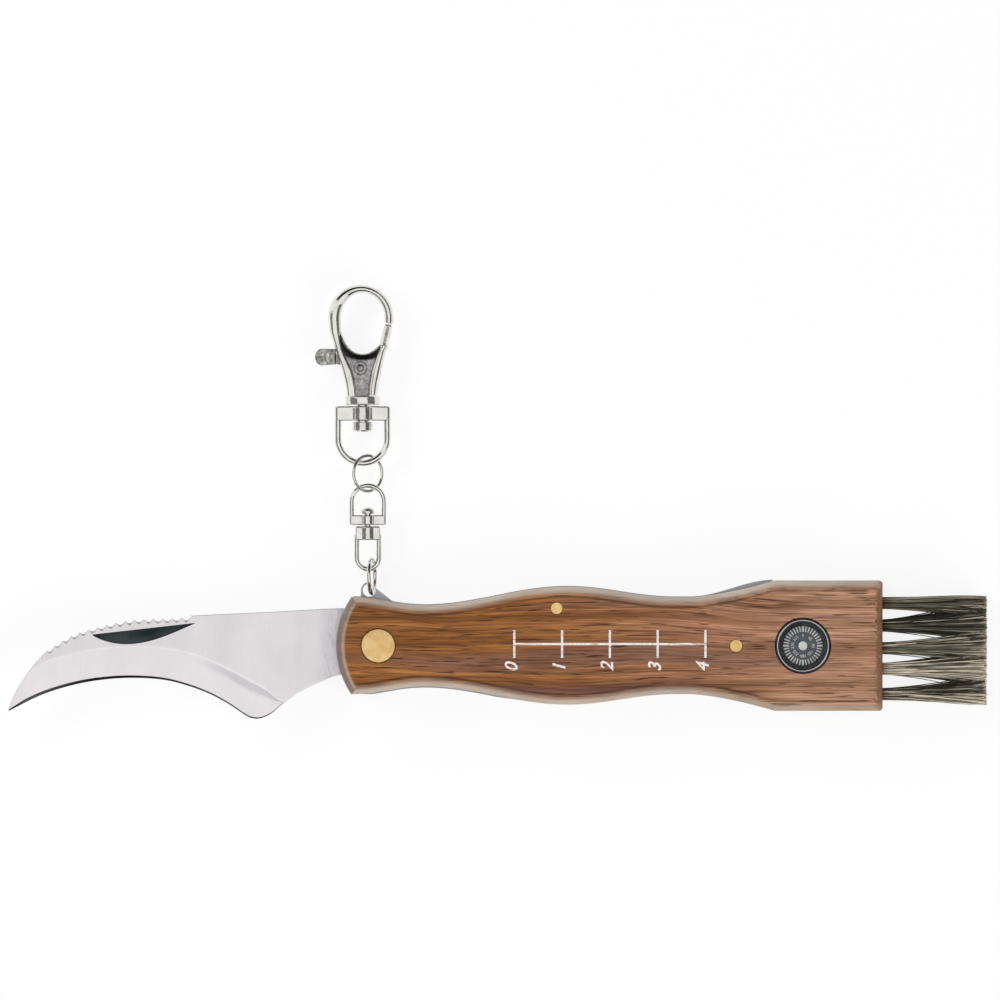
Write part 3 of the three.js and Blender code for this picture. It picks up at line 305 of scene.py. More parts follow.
def turned_shell(profile, centre=(0.0, 0.0), sides=64, closed=False):
    """A shell turned about an upright axis: each profile point (radius, level) carried once round it."""
    radius, level = np.asarray(profile, dtype=float).T[:, :, None]
    around = circle(1.0, sides)
    x, y = centre[0] + radius * around[:, 0], centre[1] + radius * around[:, 1]
    return skinned_shell(np.stack([x, y, np.broadcast_to(level, x.shape)], axis=-1), closed)


def rod_shell(radius, start, end, sides=48):
    """A round rod between two points: a circle across its axis at either end."""
    start, end = np.asarray(start, dtype=float), np.asarray(end, dtype=float)
    along = (end - start) / np.linalg.norm(end - start)
    across = np.cross(along, [0.0, 1.0, 0.0] if abs(along[1]) < 0.9 else [1.0, 0.0, 0.0])
    across /= np.linalg.norm(across)
    ring = circle(radius, sides) @ np.array([across, np.cross(along, across)])
    return skinned_shell([start + ring, end + ring])


def together(shells):
    """Several shells as one list of points and one list of faces."""
    points, faces, first = [], [], 0
    for shell_points, shell_faces in shells:
        points.append(shell_points)
        faces += [tuple(corner + first for corner in face) for face in shell_faces]
        first += len(shell_points)
    return np.concatenate(points), faces


def shaped_mesh(made):
    """A new mesh of an object's shape as its modifiers or its lettering make it."""
    bpy.context.view_layer.update()
    return bpy.data.meshes.new_from_object(made.evaluated_get(bpy.context.evaluated_depsgraph_get()))


def cut_by(made, cutters):
    """The object less some closed shells, by one Boolean whose result becomes its mesh. Shells that cross each
    other in either are joined by it."""
    modifier = made.modifiers.new("cut", "BOOLEAN")
    modifier.operation, modifier.solver, modifier.use_self = "DIFFERENCE", "EXACT", True
    modifier.object = mesh_of("cutter", together(cutters))
    result = shaped_mesh(made)
    bpy.data.objects.remove(modifier.object)
    made.modifiers.clear()
    made.data = result
    return made


def piece(name, shell, material, body, nodes=(), degrees=30, cutters=(), tones=None):
    """A finished piece: its mesh with its tones stored at the points, less its cutters, and kept sharp where
    two faces meet at more than the angle; its material and body, and the nodes that it stands for, hidden."""
    made = mesh_of(name, shell)
    for label, values in (tones or {}).items():
        attribute = made.data.attributes.new(label, "FLOAT", "POINT")
        attribute.data.foreach_set("value", np.ascontiguousarray(values, dtype=float))
    if cutters:
        cut_by(made, cutters)
        made.data.polygons.foreach_set("use_smooth", np.ones(len(made.data.polygons), dtype=bool))
    if degrees is not None:
        made.data.set_sharp_from_angle(angle=math.radians(degrees))
    made.data.materials.clear()
    made.data.materials.append(material)
    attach(made, body)
    if nodes:
        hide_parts(*nodes)


class Finish:
    """A node material in the making. A value or a colour is a number or numbers, or another node's output."""

    def __init__(self, name):
        self.material, self.tree, self.shader = new_material(name)
        self.place = self.tree.nodes.new("ShaderNodeTexCoord").outputs["Object"]

    def noise(self, scale, shift=(0.0, 0.0, 0.0), detail=2.0, roughness=0.5, over=None):
        """A smooth noise from 0 to 1 over the piece's or other coordinates, scaled by one number or one an
        axis, in units of one over a millimetre, and then shifted."""
        place = added(self.tree, "Mapping", {
            "Vector": self.place if over is None else over, "Location": shift,
            "Scale": (np.broadcast_to(scale, 3) / MM).tolist(),
        })
        return added(self.tree, "TexNoise", {
            "Vector": place.outputs["Vector"], "Scale": 1.0, "Detail": detail, "Roughness": roughness,
        }).outputs["Fac"]

    def between(self, value, low, high, to_low=0.0, to_high=1.0):
        """The value carried smoothly from one range to another and held at its ends."""
        return added(self.tree, "MapRange", {
            "Value": value, "From Min": low, "From Max": high, "To Min": to_low, "To Max": to_high,
        }, interpolation_type="SMOOTHSTEP").outputs["Result"]

    def combined(self, operation, first, second=0.0):
        """One or two values by a sum or another operation."""
        return added(self.tree, "Math", {0: first, 1: second}, operation=operation).outputs["Value"]

    def product(self, first, *others):
        """Some values multiplied together."""
        for other in others:
            first = self.combined("MULTIPLY", first, other)
        return first

    def axis(self, name, less=0.0):
        """The piece's coordinate along an axis, less some millimetres."""
        value = added(self.tree, "SeparateXYZ", {"Vector": self.place}).outputs[name]
        return self.combined("SUBTRACT", value, less * MM) if less else value

    def along(self, name, low, high, to_low=0.0, to_high=1.0):
        """A value that runs between two places on an axis, in millimetres."""
        return self.between(self.axis(name), low * MM, high * MM, to_low, to_high)

    def away(self, name, less, low, high):
        """A value that runs from 0 to 1 between two distances from a place on an axis, in millimetres."""
        return self.between(self.combined("ABSOLUTE", self.axis(name, less)), low * MM, high * MM)

    def tinted(self, factor, first, second, blend="MIX"):
        """Two colours mixed by a factor."""
        inputs = {0: factor, 6: first, 7: second}
        return added(self.tree, "Mix", inputs, data_type="RGBA", blend_type=blend).outputs[2]

    def toned(self, value, *stops):
        """A value turned into a colour through stops of (place, colour or grey)."""
        ramp = self.tree.nodes.new("ShaderNodeValToRGB")
        elements = ramp.color_ramp.elements
        while len(elements) < len(stops):
            elements.new(0.5)
        for element, (place, color) in zip(elements, stops):
            element.position, element.color = place, (*np.broadcast_to(color, 3), 1.0)
        return filled(self.tree, ramp, {"Fac": value}).outputs["Color"]

    def shaded(self, color, value, *stops):
        """A colour multiplied by the tones of a value."""
        return self.tinted(1.0, color, self.toned(value, *stops), "MULTIPLY")

    def stored(self, label):
        """The numbers stored at the mesh's points under a name."""
        return added(self.tree, "Attribute", {}, attribute_name=label).outputs["Fac"]

    def surface(self, color, roughness, height=None, depth=0.0, **uniform):
        """The material, with its colour and roughness, a bump of a height from 0 to 1 times a depth in
        millimetres, and other values on the shader's own sockets."""
        inputs = {label.replace("_", " "): value for label, value in uniform.items()}
        if height is not None:
            bump = added(self.tree, "Bump", {"Height": height, "Distance": depth * MM, "Strength": 1.0})
            inputs["Normal"] = bump.outputs["Normal"]
        filled(self.tree, self.shader, {"Base Color": color, "Roughness": roughness, **inputs})
        return self.material


def bent_grain(look, amount, shift):
    """The coordinates with their Y pushed about by a slow noise, so that straight grain runs in slow waves."""
    slow = look.noise((0.022, 0.05, 0.05), shift, detail=1.0)
    push = look.product(look.combined("SUBTRACT", slow, 0.5), amount * MM)
    wave = added(look.tree, "CombineXYZ", {"Y": push}).outputs["Vector"]
    return added(look.tree, "VectorMath", {0: look.place, 1: wave}).outputs["Vector"]


def wood_material(name, shift, outer_level=None):
    """Reddish brown hardwood sawn along X. Broad bands of a slow noise set the tone, dark growth lines follow
    the middle value of three finer noises, fibres lighten and darken it, and short dark pores are the peaks of
    another. The tone turns from orange brown at the blade to pinker brown at the brush. The rounded edge is
    pale from wear of the lacquer and from painted reflection, painted darker on the lower side of the head as
    painted shade, with a painted shaded line along the crease inside it and painted grey shade at the nose;
    the butt's end grain is dark between its corners.
    """
    look = Finish(name)
    grain = bent_grain(look, 4.5, shift)
    bands = look.noise((0.006, 0.42, 0.3), shift, detail=3.0, roughness=0.55, over=grain)
    orange, pink = (look.toned(bands, *zip((0.3, 0.48, 0.66), tones)) for tones in (
        ((0.165, 0.055, 0.0105), (0.28, 0.102, 0.0215), (0.4, 0.158, 0.041)),
        ((0.235, 0.108, 0.056), (0.375, 0.187, 0.108), (0.5, 0.27, 0.168)),
    ))
    color = look.tinted(look.along("X", 22, 94), orange, pink)
    color = look.tinted(look.along("X", 77, 90), color, (1.13, 1.19, 1.27), "MULTIPLY")
    cool = look.noise((0.012, 0.2, 0.15), (3.0, 7.0, 1.0), detail=1.0, over=grain)
    color = look.tinted(look.between(cool, 0.54, 0.72, 0.0, 0.6), color, (0.19, 0.1, 0.082))
    fibres = look.noise((0.09, 3.0, 3.0), shift, detail=3.0, roughness=0.7, over=grain)
    color = look.shaded(color, fibres, (0.3, (0.58, 0.54, 0.5)), (0.7, (1.38, 1.38, 1.38)))
    for scale, reach, share, seed in (
        ((0.007, 0.36, 0.2), 0.022, 0.75, 9.0),
        ((0.014, 0.95, 0.5), 0.045, 0.65, 17.0),
        ((0.03, 1.7, 0.9), 0.05, 0.55, 23.0),
    ):
        lines = look.noise(scale, (seed, 2.0, 5.0), roughness=0.6, over=grain)
        ridge = look.combined("ABSOLUTE", look.combined("SUBTRACT", lines, 0.5))
        broken = look.noise((0.06, 0.5, 0.5), (seed, 4.0, 8.0), over=grain)
        growth = look.product(look.between(ridge, 0.0, reach, 1.0, 0.0), look.between(broken, 0.4, 0.6, 0.1, share))
        color = look.tinted(growth, color, (0.085, 0.03, 0.011))
    pore = look.between(look.noise((0.17, 2.9, 2.9), shift, detail=1.5, over=grain), 0.635, 0.7)
    color = look.tinted(look.product(pore, 0.85), color, (0.045, 0.02, 0.012))
    if outer_level is not None:
        butt = look.along("X", 103.5, 103.9)
        end_grain = look.product(look.away("Z", outer_level, 0.05, 0.4), butt, 0.7)
        color = look.tinted(end_grain, color, (0.2, 0.1, 0.055))
        side = look.combined("SUBTRACT", 1.0, butt)
        off_butt = look.combined("MAXIMUM", side, look.away("Y", 0.0, 11.7, 12.3))
        patches = look.noise((0.035, 0.05, 0.05), (8.0, 1.0, 3.0), detail=1.0)
        patchy = look.product(look.between(patches, 0.38, 0.5, 0.82, 1.0), look.along("X", 76, 98, 1.0, 0.86))
        # The pale rounded edge: wear of the lacquer and painted reflection, patchy and kept off the butt's end.
        wear_and_sheen = look.product(look.stored("wear_and_sheen"), look.between(fibres, 0.2, 0.8, 0.8, 1.0), patchy, off_butt)
        # Painted shade: on the lower side of the head the pale edge is painted darker.
        shaded = look.product(look.along("Y", -3, 0, 1.0, 0.0), look.along("X", 62, 78))
        color = look.tinted(wear_and_sheen, color, look.tinted(shaded, (0.65, 0.56, 0.465), (0.44, 0.37, 0.29)))
        # A painted shaded line along the crease just inside the rounded edge, broken by a noise.
        line = look.between(look.noise((0.12, 0.3, 0.3), (2.0, 6.0, 4.0)), 0.36, 0.56, 0.4, 0.9)
        color = look.tinted(look.product(look.stored("crease_shade"), line, side), color, (0.06, 0.024, 0.008))
        # Painted grey shade on the nose's rounded edge.
        color = look.tinted(look.product(look.stored("nose"), 0.85), color, (0.23, 0.185, 0.17))
    gloss = look.combined("ADD", look.between(fibres, 0.3, 0.7, 0.46, 0.36), look.product(pore, 0.3))
    height = look.combined("SUBTRACT", look.product(fibres, 0.4), pore)
    return look.surface(
        color, gloss, height, 0.06, Specular_IOR_Level=0.2, Coat_Weight=0.12, Coat_Roughness=0.2, Coat_IOR=1.35,
    )


def rounded_scale(inner, outer):
    """A scale's shell and the shares at its points of wear, painted reflection and painted shade. The wall rises
    from the inner face, an arc whose tilt falls from upright to a low angle meets the flat face in a soft crease,
    and rings on the flat carry the crease's painted shaded line. The pale edge is wear and painted reflection,
    less on the lower side as painted shade; it, the line and the nose's painted grey shade are broken lines over
    the inset."""
    side = math.copysign(1.0, outer - inner)
    radius = edge_run / (1 - math.sin(edge_start))
    tilt = np.linspace(np.pi / 2, edge_start, edge_rings)
    round_over = zip(radius * (1 - np.sin(tilt)), outer - side * radius * (math.cos(edge_start) - np.cos(tilt)))
    flat = [(inset, outer) for inset in flat_insets]
    rings = np.array([(0.0, inner), (0.0, outer - side * wall_height), *round_over, *flat])
    loops = [at_level(wood_loop(inset), level) for inset, level in rings]
    count = len(loops[0])
    inset = np.repeat(rings[:, 0], count)
    x, y = np.concatenate(loops)[:, :2].T
    on_nose = np.zeros(count)
    on_nose[:nose_points] = on_nose[1 - nose_points:] = 1.0
    on_nose = np.tile(on_nose, len(rings)) * np.clip((nose_half - np.abs(y)) / nose_fade, 0, 1)
    # The pale rounded edge, wear of the lacquer and painted reflection, with less on the lower side as painted shade.
    along_side = np.interp(inset, (0.8, 1.05, 1.25, 1.45, 1.65, 2.0), (1.0, 0.62, 0.4, 0.26, 0.16, 0.0))
    at_nose = np.interp(inset, (0.9, 1.14, 1.41, 1.7, 1.88), (0.2, 0.45, 0.55, 0.25, 0.0))
    lower_side = np.clip(-y / 3, 0, 1) * (1 - on_nose) * lower_side_shade
    wear_and_sheen = (along_side + (at_nose - along_side) * on_nose) * (1 - lower_side)
    wear_and_sheen *= np.clip((wear_and_sheen_end - x) / wear_and_sheen_fade, 0, 1)
    wear_and_sheen[:count], wear_and_sheen[count:2 * count] = 0.0, wall_wear_and_sheen
    # The crease's painted shade, on the first rings of the flat.
    crease_shade = np.interp(inset, (1.78, 1.95, 2.1, 2.28, 2.45), (0.0, 0.8, 1.0, 0.6, 0.0))
    crease_shade *= (1 - on_nose) * np.clip(rim_end - x, 0, 1)
    # The nose's painted grey shade, on the outer part of its rounded edge.
    nose = np.interp(inset, (0.9, 1.14), (1.0, 0.0)) * on_nose
    return ladder_shell(loops), {"wear_and_sheen": wear_and_sheen, "crease_shade": crease_shade, "nose": nose}


below, above, seat_end = -1, 16, (6, 9)
pin_gap, pin_slack = 0.12, 0.02
pin_places = ((37.35, 7.84, 1.3), (74.9, 0.0, 1.35))
wide, narrow, pivot_sink = 3.55 + pin_gap, 2.0 + pin_gap, 1.4
front_step = knife_top - pivot_sink
rear_seat = [(wide, below), (wide, pivot_sink), (narrow, pivot_sink), (narrow, seat_end[0])]
front_seat = [(narrow, seat_end[1]), (narrow, front_step), (wide, front_step), (wide, above)]
rear_seat, front_seat = turned_shell(rear_seat, sides=96), turned_shell(front_seat, sides=96)
pin_bores = [rod_shell(radius + pin_slack, (x, y, below), (x, y, above), 64) for x, y, radius in pin_places]
tuft_bore, tuft_depth = 1.38, 4
tuft_bores = [
    [rod_shell(tuft_bore, (handle_back - tuft_depth, y, row), (handle_back + 1, y, row), 40) for y in tuft_middles]
    for row in tuft_rows
]
compass_place, compass_bore, cup_foot = 88.9, 5.9, knife_top - 4.0
compass_pocket = rod_shell(compass_bore, (compass_place, 0, cup_foot), (compass_place, 0, above), 128)

for name, inner, outer, shift, cutters in (
    ("rear_scale", scale_depth, 0.0, (5.0, 3.0, 2.0), [rear_seat, *pin_bores, *tuft_bores[0]]),
    ("front_scale", knife_top - scale_depth, knife_top, (0.0, 0.0, 0.0),
     [front_seat, *pin_bores, *tuft_bores[2], compass_pocket]),
):
    shell, tones = rounded_scale(inner, outer)
    wood = wood_material(name + "_wood", shift, outer)
    piece(name + "_wood", shell, wood, "handle", [name], 16, cutters, tones)
block_shell = ladder_shell([at_level(wood_loop(0.0, block_front), level) for level in block_levels])
block_wood = wood_material("end_block_wood", (2.0, 8.0, 4.0))
piece("end_block_wood", block_shell, block_wood, "handle", ["end_block"], cutters=tuft_bores[1])

# The printed ruler.
# Four centimetres of a white rule, stamped in thick ink on the front scale: a base line, five cross ticks and
# the numbers 0 to 4, which read from the handle's side. The ink has worn through where the pores lie.
ruler_start, centimetre = 28.49, 10.0
ink_depth = 0.02
ink_foot, ink_top = knife_top - ink_depth / 2, knife_top + ink_depth
base_line, half_line = 0.36, 0.23
tick_low, tick_high = -2.55, 3.28
number_level, number_back, number_size, number_lean, number_bold = -4.2, 0.65, 3.75, 0.28, 0.06
tick_proud = 0.003


def bar_shell(low, high):
    """A plain bar between two corners."""
    ring = [(low[0], low[1]), (high[0], low[1]), (high[0], high[1]), (low[0], high[1])]
    return skinned_shell([at_level(ring, low[2]), at_level(ring, high[2])])


def shell_of(mesh):
    """A mesh's points and faces."""
    points = np.empty(len(mesh.vertices) * 3)
    mesh.vertices.foreach_get("co", points)
    return points.reshape(-1, 3), [tuple(polygon.vertices) for polygon in mesh.polygons]


def lettered_shell(text, size, depth, lean=0.0, bold=0.0):
    """A number in the built-in typeface, thickened by bold and centred on the origin, as a slab of the depth."""
    curve = bpy.data.curves.new("number", "FONT")
    curve.body, curve.size, curve.shear, curve.offset = text, size, lean, bold
    curve.extrude, curve.resolution_u = depth / 2, 4
    holder = standing("number", curve)
    mesh = shaped_mesh(holder)
    points, faces = shell_of(mesh)
    bpy.data.objects.remove(holder)
    bpy.data.meshes.remove(mesh)
    return points - (points.min(axis=0) + points.max(axis=0)) / 2, faces


ruler_end = ruler_start + 4 * centimetre
ruler = [bar_shell((ruler_start, base_line - half_line, ink_foot), (ruler_end, base_line + half_line, ink_top))]
for mark in range(5):
    x = ruler_start + mark * centimetre
    ruler.append(bar_shell((x - half_line, tick_low, ink_foot), (x + half_line, tick_high, ink_top + tick_proud)))
    points, faces = lettered_shell(str(mark), number_size, ink_depth, number_lean, number_bold)
    turned = np.column_stack([-points[:, 1], points[:, 0], points[:, 2]])
    ruler.append((turned + [x - number_back, number_level, knife_top + ink_depth / 2], faces))
look = Finish("white_ink")
pores = look.noise((0.16, 2.6, 2.6), detail=1.0, over=bent_grain(look, 9.0, (0.0, 0.0, 0.0)))
thin = look.noise(1.6, detail=3.0)
color = look.toned(thin, (0.3, (0.66, 0.6, 0.57)), (0.55, (0.86, 0.83, 0.82)))
color = look.tinted(look.between(pores, 0.61, 0.7, 0.0, 0.7), color, (0.34, 0.2, 0.13))
piece("ruler_print", together(ruler), look.surface(color, 0.55, thin, 0.01), "handle")

# The liners and the back spring.
# Two steel sheets stamped to the handle's outline line the blade's slot, and the back spring lies between them
# along the top edge. The rear liner has an ear with a hole, the lug that the chain hangs on.
liner_level, front_liner_level, liner_thickness = 5.0, 8.5, 0.9
liner_proud, lower_proud, lower_least = 0.15, 0.3, 0.03
liner_back, liner_nose_inset = 82.6, 0.3
lug_place, lug_height = -1.9, front_half + 1.4
lug_hole, lug_rim = 1.33, 0.42
lug_foot, lug_root = lug_place + 5.1, 7.0
proud_start, proud_rise, proud_end, proud_fall = -4, 3, 30, 5
bore_foot, lug_bore_top, pivot_bore_top = 4, 7, 10


def liner_loop():
    """The steel outline in plan: the handle's, evenly waved and square at the back. Its upper side stands a
    hair proud of the wood all the way, its lower side only near the blade."""
    nose = nose_arc(nose_radius - liner_nose_inset, front_half + liner_proud)
    x = np.linspace(nose[-1, 0], liner_back, side_points)[1:]
    side = np.column_stack([x, half_width(x, flared=False) + liner_proud])
    upper = np.concatenate([nose, side, square_end(liner_back, side[-1, 1], 0.0)[1:]])
    x, y = (upper[1:-1] * [1.0, -1.0]).T
    proud = lower_proud * np.clip((proud_end - x) / proud_fall, 0, 1)
    proud *= np.clip((x - proud_start) / proud_rise, 0, 1)
    lower = np.column_stack([x, np.maximum(y + liner_proud, lower_least - half_width(x)) - proud])
    return np.concatenate([upper, lower[::-1]])


def slab_shell(loop, low, high, edge):
    """A plate over a plan loop, as one many-sided face at either level, with its edges broken a little."""
    loop = np.asarray(loop, dtype=float)
    following = np.roll(loop, -1, axis=0) - np.roll(loop, 1, axis=0)
    inward = np.column_stack([-following[:, 1], following[:, 0]])
    inward /= np.linalg.norm(inward, axis=1)[:, None]
    area = np.sum(loop[:, 0] * np.roll(loop[:, 1], -1) - loop[:, 1] * np.roll(loop[:, 0], -1))
    drawn = loop + inward * edge * np.sign(area)
    rings = [at_level(drawn, low), at_level(loop, low + edge), at_level(loop, high - edge), at_level(drawn, high)]
    index = np.arange(len(loop))
    faces = walls_of(len(rings), len(loop)) + [tuple(index[::-1].tolist()), tuple((index + 3 * len(loop)).tolist())]
    points = np.concatenate(rings)
    return points, outward(points, faces)


def lug_loop():
    """The ear in plan: its root in the liner, up the left side, round the hole and down the sloping back."""
    radius = lug_hole + lug_rim
    foot_height = half_width(np.array([lug_foot]))[0]
    rise, back = lug_height - foot_height, lug_foot - lug_place
    lean = math.asin(radius / math.hypot(rise, back)) - math.atan2(rise, back)
    ear = arc((lug_place, lug_height), radius, np.pi, np.pi / 2 - lean, 40)
    return np.concatenate([[(lug_place - radius, lug_root)], ear, [(lug_foot, foot_height), (lug_foot, lug_root)]])


def steel_material(name, color, roughness, scale, depth):
    """Rolled steel sheet: a grey metal with fine marks along one axis, patchy in tone and gloss."""
    look = Finish(name)
    marks = look.noise(scale, detail=3.0, roughness=0.65)
    tone = look.toned(look.noise(0.12), (0.3, 0.78 * np.array(color)), (0.7, 1.15 * np.array(color)))
    gloss = look.between(marks, 0.2, 0.8, roughness - 0.06, roughness + 0.1)
    return look.surface(look.shaded(tone, marks, (0.25, 0.85), (0.75, 1.1)), gloss, marks, depth, Metallic=1.0)


sheet_steel = steel_material("sheet_steel", (0.42, 0.43, 0.455), 0.36, (0.15, 5.0, 5.0), 0.004)
slack = 0.01
ear = slab_shell(lug_loop(), liner_level + slack, liner_level + liner_thickness - slack, 0.08)
rear_plate = slab_shell(liner_loop(), liner_level, liner_level + liner_thickness, 0.06)
front_plate = slab_shell(liner_loop(), front_liner_level, front_liner_level + liner_thickness, 0.06)
lug_bore = turned_shell([(lug_hole, bore_foot), (lug_hole, lug_bore_top)], (lug_place, lug_height))
pivot_bore = turned_shell([(narrow, bore_foot), (narrow, pivot_bore_top)])
for name, shell, cutters in (
    ("rear_liner", together([rear_plate, ear]), [lug_bore, pivot_bore, *pin_bores]),
    ("front_liner", front_plate, [pivot_bore, *pin_bores]),
):
    piece(name + "_steel", shell, sheet_steel, "handle", [name], 25, cutters)


def refinished(node, material):
    """A CAD node with a finer finish."""
    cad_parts[node].data.materials.clear()
    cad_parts[node].data.materials.append(material)


refinished("back_spring", sheet_steel)

# The brass pins.
# The pivot is a brass rod with a wide, faintly crowned head sunk in either scale; two thinner rods hold the
# spring and the far end of the liners. All are filed flush, which leaves fine scratches.
pivot_crown, pin_edge = 0.2, 0.1
head_radius, head_edge, shank_radius = 3.55, 0.14, 2.0

look = Finish("brass")
scratches = look.noise((7.0, 0.35, 0.6), detail=3.0, roughness=0.7)
patches = look.noise(0.5, detail=3.0)
color = look.toned(patches, (0.3, (0.78, 0.5, 0.2)), (0.7, (0.95, 0.69, 0.34)))
color = look.shaded(color, scratches, (0.25, (0.84, 0.82, 0.78)), (0.75, 1.1))
brass = look.surface(color, look.between(scratches, 0.2, 0.8, 0.22, 0.4), scratches, 0.006, Metallic=1.0)

crown_share = np.linspace(1.0, 0.02, 14)[1:]
crown_radius = crown_share * (head_radius - head_edge)
profile = [
    (head_radius, 0.0), (head_radius, pivot_sink), (shank_radius, pivot_sink), (shank_radius, front_step),
    (head_radius, front_step), *arc((head_radius - head_edge, knife_top - head_edge), head_edge, 0.0, np.pi / 2, 5),
    *zip(crown_radius, knife_top + pivot_crown * (1 - crown_share ** 2)),
]
piece("pivot_pin_brass", turned_shell(profile, sides=128), brass, "handle", ["pivot_pin"], 25)
for node, (x, y, radius) in zip(("spring_pin", "rear_pin"), pin_places):
    profile = [(radius - pin_edge, 0.0), (radius, pin_edge), (radius, knife_top - pin_edge),
               (radius - pin_edge, knife_top - 0.01), (radius * 0.5, knife_top)]
    piece(node + "_brass", turned_shell(profile, (x, y)), brass, "handle", [node], 25)

# The compass.
# A black moulded cup pressed into the front scale holds a clear domed lens on a ledge, and under it a dark
# card with white marks floats on a steel point. The card turns by itself.
cup_radius, cup_proud, cup_floor = 5.75, 0.35, 0.6
cup_wall, ledge_width, lens_seat = 0.75, 0.6, 1.1
cup_rim = knife_top + cup_proud
cup_bore = cup_radius - cup_wall
well_radius, lens_radius = cup_bore - ledge_width, cup_bore - 0.15
ledge_level = cup_rim - lens_seat
lip_round, inner_round = 0.4, 0.2
compass_centre = (compass_place, 0.0)
plastic_tone = np.array([0.022, 0.024, 0.027])


def polished_material(name, color, roughness, ripple=0.006):
    """Bright plated metal: nearly a mirror, a little uneven in gloss and faintly rippled by its casting."""
    look = Finish(name)
    patches = look.noise(0.45, detail=3.0)
    tone = look.toned(patches, (0.35, 0.88 * np.array(color)), (0.65, 1.05 * np.array(color)))
    gloss = look.between(patches, 0.3, 0.75, roughness, roughness + 0.07)
    return look.surface(tone, gloss, look.noise(1.4), ripple, Metallic=1.0)


lip = arc((cup_radius - lip_round, cup_rim - lip_round), lip_round, 0.0, np.pi / 2, 8)
inner_lip = arc((cup_bore + inner_round, cup_rim - inner_round), inner_round, np.pi / 2, np.pi, 5)
profile = [(cup_radius, cup_foot), *lip, *inner_lip, (cup_bore, ledge_level), (well_radius, ledge_level),
           (well_radius, cup_foot + cup_floor)]
look = Finish("black_plastic")
grain = look.noise(3.0)
color = look.toned(grain, (0.35, 0.8 * plastic_tone), (0.65, 1.3 * plastic_tone))
black_plastic = look.surface(color, look.between(grain, 0.3, 0.7, 0.2, 0.32), grain, 0.008)
cup = turned_shell(profile, compass_centre, 128)
piece("compass_cup_plastic", cup, black_plastic, "handle", ["compass_cup"])

lens_thickness, lens_crown = 0.9, 0.45
lens_pole, rim_level = lens_radius * 0.02, ledge_level + lens_thickness
dome = arc((0.0, rim_level), (lens_radius, lens_crown), 0.0, np.pi / 2, 16)[:-1]
profile = [(lens_pole, ledge_level), (lens_radius, ledge_level), *dome, (lens_pole, rim_level + lens_crown)]
look = Finish("clear_lens")
haze = look.noise(0.6, detail=3.0)
color = look.toned(haze, (0.3, (0.02, 0.03, 0.034)), (0.7, (0.05, 0.065, 0.07)))
glance = look.tree.nodes.new("ShaderNodeLayerWeight").outputs["Facing"]
veil = look.between(glance, 0.0, 0.9, 0.08, 0.3)
clear = look.surface(color, look.between(haze, 0.3, 0.8, 0.16, 0.26), Alpha=veil, IOR=1.9)
lens = turned_shell(profile, compass_centre, 128)
piece("compass_lens_clear", lens, clear, "handle", ["compass_lens"])

bezel_inner, bezel_outer, bezel_edge, bezel_rise, bezel_foot = 5.18, 5.43, 0.06, 0.05, cup_rim - 0.2
profile = [
    (bezel_inner, bezel_foot), (bezel_outer, bezel_foot), (bezel_outer, cup_rim),
    (bezel_outer - bezel_edge, cup_rim + bezel_rise), (bezel_inner + bezel_edge, cup_rim + bezel_rise),
    (bezel_inner, cup_rim),
]
silver = polished_material("silver_trim", (0.62, 0.62, 0.62), 0.22)
piece("compass_trim_ring", turned_shell(profile, compass_centre, 128, closed=True), silver, "handle")

dial_level, dial_depth, dial_radius = cup_foot + cup_floor + 1.3, 0.5, well_radius - 0.25
card_edge, card_bore = 0.06, 0.5
hub_radius, hub_height, pole = 0.93, 0.25, 0.02
card_top = dial_level + dial_depth
profile = [
    (card_bore, dial_level), (dial_radius - card_edge, dial_level), (dial_radius, dial_level + card_edge),
    (dial_radius, card_top - card_edge), (dial_radius - card_edge, card_top), (hub_radius, card_top),
    (hub_radius - 0.1, card_top + hub_height), (pole, card_top + hub_height + 0.05),
]
look = Finish("dial_card_black")
fleck = look.noise(1.1, detail=4.0, roughness=0.65)
color = look.toned(fleck, (0.3, (0.05, 0.064, 0.073)), (0.7, (0.115, 0.142, 0.156)))
card_black = look.surface(color, look.between(fleck, 0.3, 0.7, 0.5, 0.65))
dial_card = turned_shell(profile, compass_centre, 96)
piece("compass_dial_card", dial_card, card_black, "compass_dial", ["compass_dial"])

mark_depth = 0.03
tick_count, tick_inner, tick_outer, tick_half, bold_share = 36, 2.95, 4.1, 0.11, 1.6
number_count, number_radius, dial_number_size = 8, 2.15, 0.88
mark_foot = card_top - mark_depth / 2
marks = []
for tick in range(tick_count):
    turn = 2 * np.pi * tick / tick_count
    wide = tick_half * (bold_share if tick % (tick_count // 4) == 0 else 1.0)
    corners = np.array([(tick_inner, -wide), (tick_outer, -wide), (tick_outer, wide), (tick_inner, wide)])
    axes = np.array([(math.cos(turn), math.sin(turn)), (-math.sin(turn), math.cos(turn))])
    ring = corners @ axes + compass_centre
    marks.append(skinned_shell([at_level(ring, mark_foot), at_level(ring, mark_foot + mark_depth)]))
for number in range(number_count):
    turn = 2 * np.pi * number / number_count
    points, faces = lettered_shell(str(360 // number_count * number), dial_number_size, mark_depth)
    x, y = points[:, 0], points[:, 1] + number_radius
    spun = [x * math.cos(turn) + y * math.sin(turn), y * math.cos(turn) - x * math.sin(turn), points[:, 2]]
    marks.append((np.column_stack(spun) + [*compass_centre, mark_foot + mark_depth / 2], faces))
cap = [(hub_radius + 0.02, card_top), (hub_radius - 0.06, card_top + hub_height + 0.03),
       (pole, card_top + hub_height + 0.1)]
marks.append(turned_shell(cap, compass_centre, 48))
look = Finish("dial_white")
fade = look.noise(2.0, detail=3.0)
mark_white = look.surface(look.toned(fade, (0.3, (0.76, 0.75, 0.72)), (0.6, (0.96, 0.94, 0.9))), 0.6)
